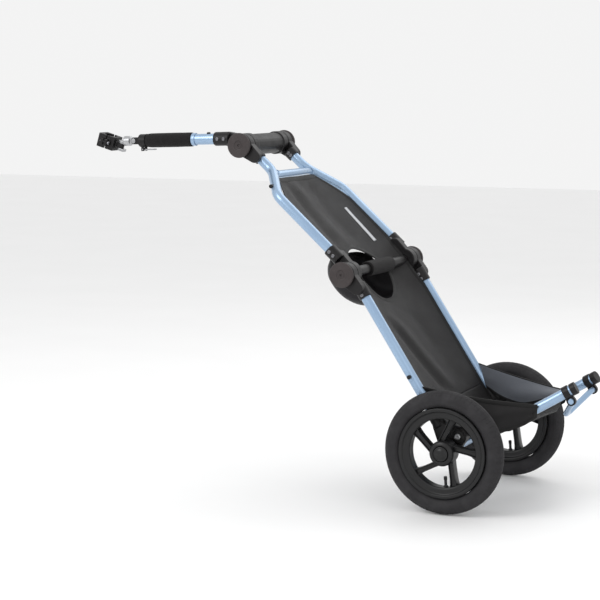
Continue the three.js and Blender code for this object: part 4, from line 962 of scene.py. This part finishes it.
# Tray sheet: the same cloth goes on below a seam, round a bend of about 90 mm in front of the axle, and back
# between the tray's tubes as a slack floor that narrows with them.
floor_along, floor_down = toward(25), toward(-65)
mid_bend, slack = 0.110, 0.022
floor_root = tray_pivot + 0.0375 * floor_down
lower_root = lower_point(0, 0, slack)
square = np.array([[-lower_along[0], -floor_along[0]], [-lower_along[2], -floor_along[2]]])
gap = (floor_root - lower_root)[[0, 2]]
down_run, back_run = np.linalg.solve(square, gap)
bend_turn = math.radians(82)
trim = mid_bend * math.tan(bend_turn / 2)
straight = sheet_foot - (trim - down_run)
bend_run = mid_bend * bend_turn
floor_run = 0.172 - (trim + back_run)
tray_run = straight + bend_run + floor_run
bend_middle = lower_root - (down_run - trim) * lower_along - mid_bend * lower_front


def tray_half(run):
    """Half the cloth's width: from the rails' spacing, in along half a cosine round the bend, then straight
    in with the tray's tubes."""
    share = np.clip(run / (straight + bend_run), 0, 1)
    wide = cloth_half - (cloth_half - 0.138) * (1 - np.cos(np.pi * share)) / 2
    return wide - (0.138 - 0.0885) * np.clip((run - straight - bend_run) / floor_run, 0, 1)


def tray_place(run, across):
    """The sheet's place by its run from the seam: straight down the rails, an arc, then straight back.
    It hangs out of its edges' plane by slack (1 - |y / half|^2.4), and in small cross folds in the bend."""
    run, across = np.broadcast_arrays(np.asarray(run, float), np.asarray(across, float))
    angle = np.clip((run - straight) / mid_bend, 0, bend_turn)[..., None]
    out = np.cos(angle) * lower_front - np.sin(angle) * lower_along
    down = np.minimum(run, straight)[..., None]
    back = np.maximum(run - straight - bend_run, 0)[..., None]
    line = bend_middle + mid_bend * out + (straight - down) * lower_along + back * floor_along
    edge = np.clip(np.abs(across) / tray_half(run), 0, 1)
    folds = 0.0022 * np.sin(58 * across + 30 * run) * smooth(run, 0.03, 0.08) * (1 - smooth(run, 0.2, 0.28))
    folds = folds + 0.0015 * np.sin(95 * across - 40 * run) * smooth(run, 0.12, 0.2)
    held = 1 - edge**2.4
    line = line - (slack * (1 - held) - folds * held)[..., None] * out
    return line + np.stack([0 * across, across, 0 * across], -1)


run_grid, share_grid = np.meshgrid(np.linspace(0, tray_run, 90), np.linspace(-1, 1, 70), indexing="ij")
flat = np.stack([share_grid * tray_half(run_grid), -run_grid], -1)
tray_sheet = sheet_piece(
    "tray_sheet", tray_place(run_grid, flat[..., 0]), grid(90, 70)[:, ::-1], black_cloth, flat,
)
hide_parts("tray_floor")
bend_start, bend_end = tray_place(straight, 0.0), tray_place(straight + bend_run, 0.0)
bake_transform(tray_sheet)
tapes = []
for side_name, side in sides:
    run = np.linspace(0, tray_run, 90)
    edge = np.stack([side * tray_half(run), run], 1)
    inside = np.array([[-side, 0.0]] * 90)
    tapes.append(edge_tape(f"tray_tape_{side_name}", tray_place, edge, inside, black_tape))
across = np.linspace(-1, 1, 40) * tray_half(tray_run)
edge = np.stack([across, np.full(40, tray_run)], 1)
inside = np.array([[0, -1.0]] * 40)
tapes.append(edge_tape("tray_end_tape", tray_place, edge, inside, black_tape, reach=0.014))
for piece in tapes:
    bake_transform(piece)

# Gussets: each side of the tray is closed by a pocket of cloth round the tray's tube, grey inside and black
# outside. Its bound top edge runs from the rail to the tube, and three tabs join it to the floor.
grey_cloth = woven("grey_coated_cloth", rgb(84, 87, 94), rgb(106, 110, 117))


def through(points, count):
    """A smooth line through points: each span is the cubic whose end slopes are half the difference of the
    points on either side."""
    points = np.asarray(points, float)
    ends = np.concatenate([2 * points[:1] - points[1:2], points, 2 * points[-1:] - points[-2:-1]])
    at = np.linspace(0, len(points) - 1, count)
    span = np.minimum(at.astype(int), len(points) - 2)
    t = (at - span).reshape(-1, *([1] * (points.ndim - 1)))
    a, b, c, d = (ends[span + step] for step in range(4))
    return 0.5 * (2 * b + (c - a) * t + (2 * a - 5 * b + 4 * c - d) * t**2 + (3 * b - a - 3 * c + d) * t**3)


# For each layer, five stations from the rail to the tube: its top edge, its middle and its lower edge, as
# (rear of the axle, out from the middle plane, above the axle).
outer_layer = [
    [(-0.070, 0.2030, 0.146), (-0.058, 0.197, 0.118), (-0.041, 0.1880, 0.090)],
    [(0.002, 0.1840, 0.1310), (0.010, 0.184, 0.095), (0.022, 0.1790, 0.062)],
    [(0.068, 0.1640, 0.1200), (0.070, 0.174, 0.075), (0.072, 0.1640, 0.036)],
    [(0.132, 0.1390, 0.1120), (0.134, 0.147, 0.085), (0.144, 0.1270, 0.052)],
    [(0.190, 0.1180, 0.1070), (0.190, 0.1240, 0.094), (0.188, 0.1140, 0.078)],
]
inner_layer = [
    [(-0.070, 0.2015, 0.146), (-0.058, 0.193, 0.118), (-0.043, 0.1870, 0.088)],
    [(0.002, 0.1825, 0.1310), (0.000, 0.172, 0.100), (0.012, 0.1640, 0.065)],
    [(0.068, 0.1625, 0.1200), (0.068, 0.142, 0.088), (0.074, 0.1385, 0.058)],
    [(0.132, 0.1375, 0.1120), (0.132, 0.112, 0.098), (0.144, 0.1030, 0.080)],
    [(0.190, 0.1165, 0.1070), (0.188, 0.094, 0.104), (0.188, 0.0880, 0.098)],
]


def gusset(name, side, stations, finish, crease_depth):
    """A layer: a smooth line through the stations at each of three heights, and a smooth curve through the
    three, with small slanting creases of crease_depth sin(p) sin(q) out of it."""
    rails = through(np.array(stations), 60)
    cloth = through(rails.transpose(1, 0, 2), 20).transpose(1, 0, 2)
    cloth[..., 1] *= side
    share, drop = np.meshgrid(np.linspace(0, 1, 60), np.linspace(0, 1, 20), indexing="ij")
    crease = crease_depth * np.sin(17 * share + 5 * drop) * np.sin(np.pi * drop) * np.sin(np.pi * share)
    cloth[..., 1] += side * crease
    flat = np.stack([share * 0.30, drop * 0.10], -1)
    quads = grid(60, 20) if side > 0 else grid(60, 20)[:, ::-1]
    return sheet_piece(name, cloth + axle, quads, finish, flat, 0.001), cloth + axle


gusset_start, gusset_end = axle + [-0.03, 0, 0.08], axle + [0.10, 0, 0.08]
for side_name, side in sides:
    outer, outer_cloth = gusset(f"gusset_outer_{side_name}", side, outer_layer, black_cloth, 0.002)
    inner, inner_cloth = gusset(f"gusset_inner_{side_name}", side, inner_layer, grey_cloth, 0.0015)
    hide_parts(f"tray_gusset_{side_name}")
    edging = []
    bound = (("top", outer_cloth, 0), ("low", outer_cloth, -1), ("inner", inner_cloth, -1))
    for label, cloth, row in bound:
        line = cloth[:, row]
        into = unit(cloth[:, 1 if row == 0 else -2] - line)
        normal = unit(np.cross(np.gradient(line, axis=0), into))
        thick = 0.0020 if label == "top" else 0.0012
        name = f"gusset_{label}_tape_{side_name}"
        edging.append(tape(name, line, into, normal, black_tape, reach=0.008, thick=thick))
    front_line = outer_cloth[-1]
    into = unit(outer_cloth[-2] - front_line)
    normal = unit(np.cross(np.gradient(front_line, axis=0), into))
    name = f"gusset_end_tape_{side_name}"
    edging.append(tape(name, front_line, into, normal, black_tape, reach=0.010))
    for tab, station in enumerate((18, 32, 46)):
        low_edge = inner_cloth[station, -1]
        start = low_edge + 0.004 * unit(inner_cloth[station, -2] - low_edge)
        ahead = unit(inner_cloth[station + 1, -1] - inner_cloth[station - 1, -1])
        x_run = np.linspace(0, tray_run, 400)
        floor_edge = tray_place(x_run, side * (tray_half(x_run) - 0.004))
        nearest = floor_edge[np.argmin(np.linalg.norm(floor_edge - start, axis=1))]
        line = through([start, (start + nearest) / 2 - [0, side * 0.001, 0], nearest], 8)
        edging.append(tape(
            f"gusset_tab_{side_name}_{tab}", line, np.repeat(ahead[None], 8, 0),
            unit(np.cross(unit(nearest - start), ahead))[None].repeat(8, 0), black_tape, reach=0.016,
        ))
    for piece in [outer, inner, *edging]:
        piece not in (outer, inner)
        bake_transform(piece)

# Pouch: a half-moon bag of the same cloth that hangs in front of the middle hinge, open above and towards
# the hand hole. It is sewn from one bowed shell with rounded ends, and its mouth is bound.
pouch_cloth = woven("pouch_cloth", rgb(22, 21, 23), rgb(36, 34, 37))
pouch_curve = [
    (-0.096, 0.026), (-0.104, 0.004), (-0.102, -0.022), (-0.089, -0.044), (-0.070, -0.065),
    (-0.046, -0.083),
    (-0.018, -0.093), (0.010, -0.092), (0.032, -0.080),
]
pouch_middle = np.array([-0.030, -0.012])
pouch_half = 0.118
curve = through(pouch_curve, 60)
bulge = np.linspace(-np.pi / 2, np.pi / 2, 81)
reach = np.abs(np.cos(bulge)) ** 0.30
reach[[0, -1]] = 0.0
across = pouch_half * np.sign(np.sin(bulge)) * np.abs(np.sin(bulge)) ** 0.62
shell = pouch_middle + (curve - pouch_middle)[None] * reach[:, None, None]
shell = shell * (1 - 0.012 * np.sin(9 * np.linspace(0, 1, 60)) * np.cos(6 * bulge)[:, None])[..., None]
points = np.stack([shell[..., 0], np.repeat(across[:, None], 60, 1), shell[..., 1]], -1) + middle_hinge
flat = np.stack(np.meshgrid(across, np.linspace(0, 0.21, 60), indexing="ij"), -1)
pouch = sheet_piece("storage_pouch_shell", points, grid(81, 60)[:, ::-1], pouch_cloth, flat, 0.0016)
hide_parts("storage_pouch")
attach(pouch, "lower_frame")
mouth = points[:, 0]
into = unit(points[:, 1] - mouth + 1e-9)
normal = unit(np.cross(np.gradient(mouth, axis=0), into) + 1e-12)
mouth_tape = tape("pouch_mouth_tape", mouth[3:-3], into[3:-3], normal[3:-3], black_tape, reach=0.010)
fit(mouth_tape, "lower_frame", "black_fabric")
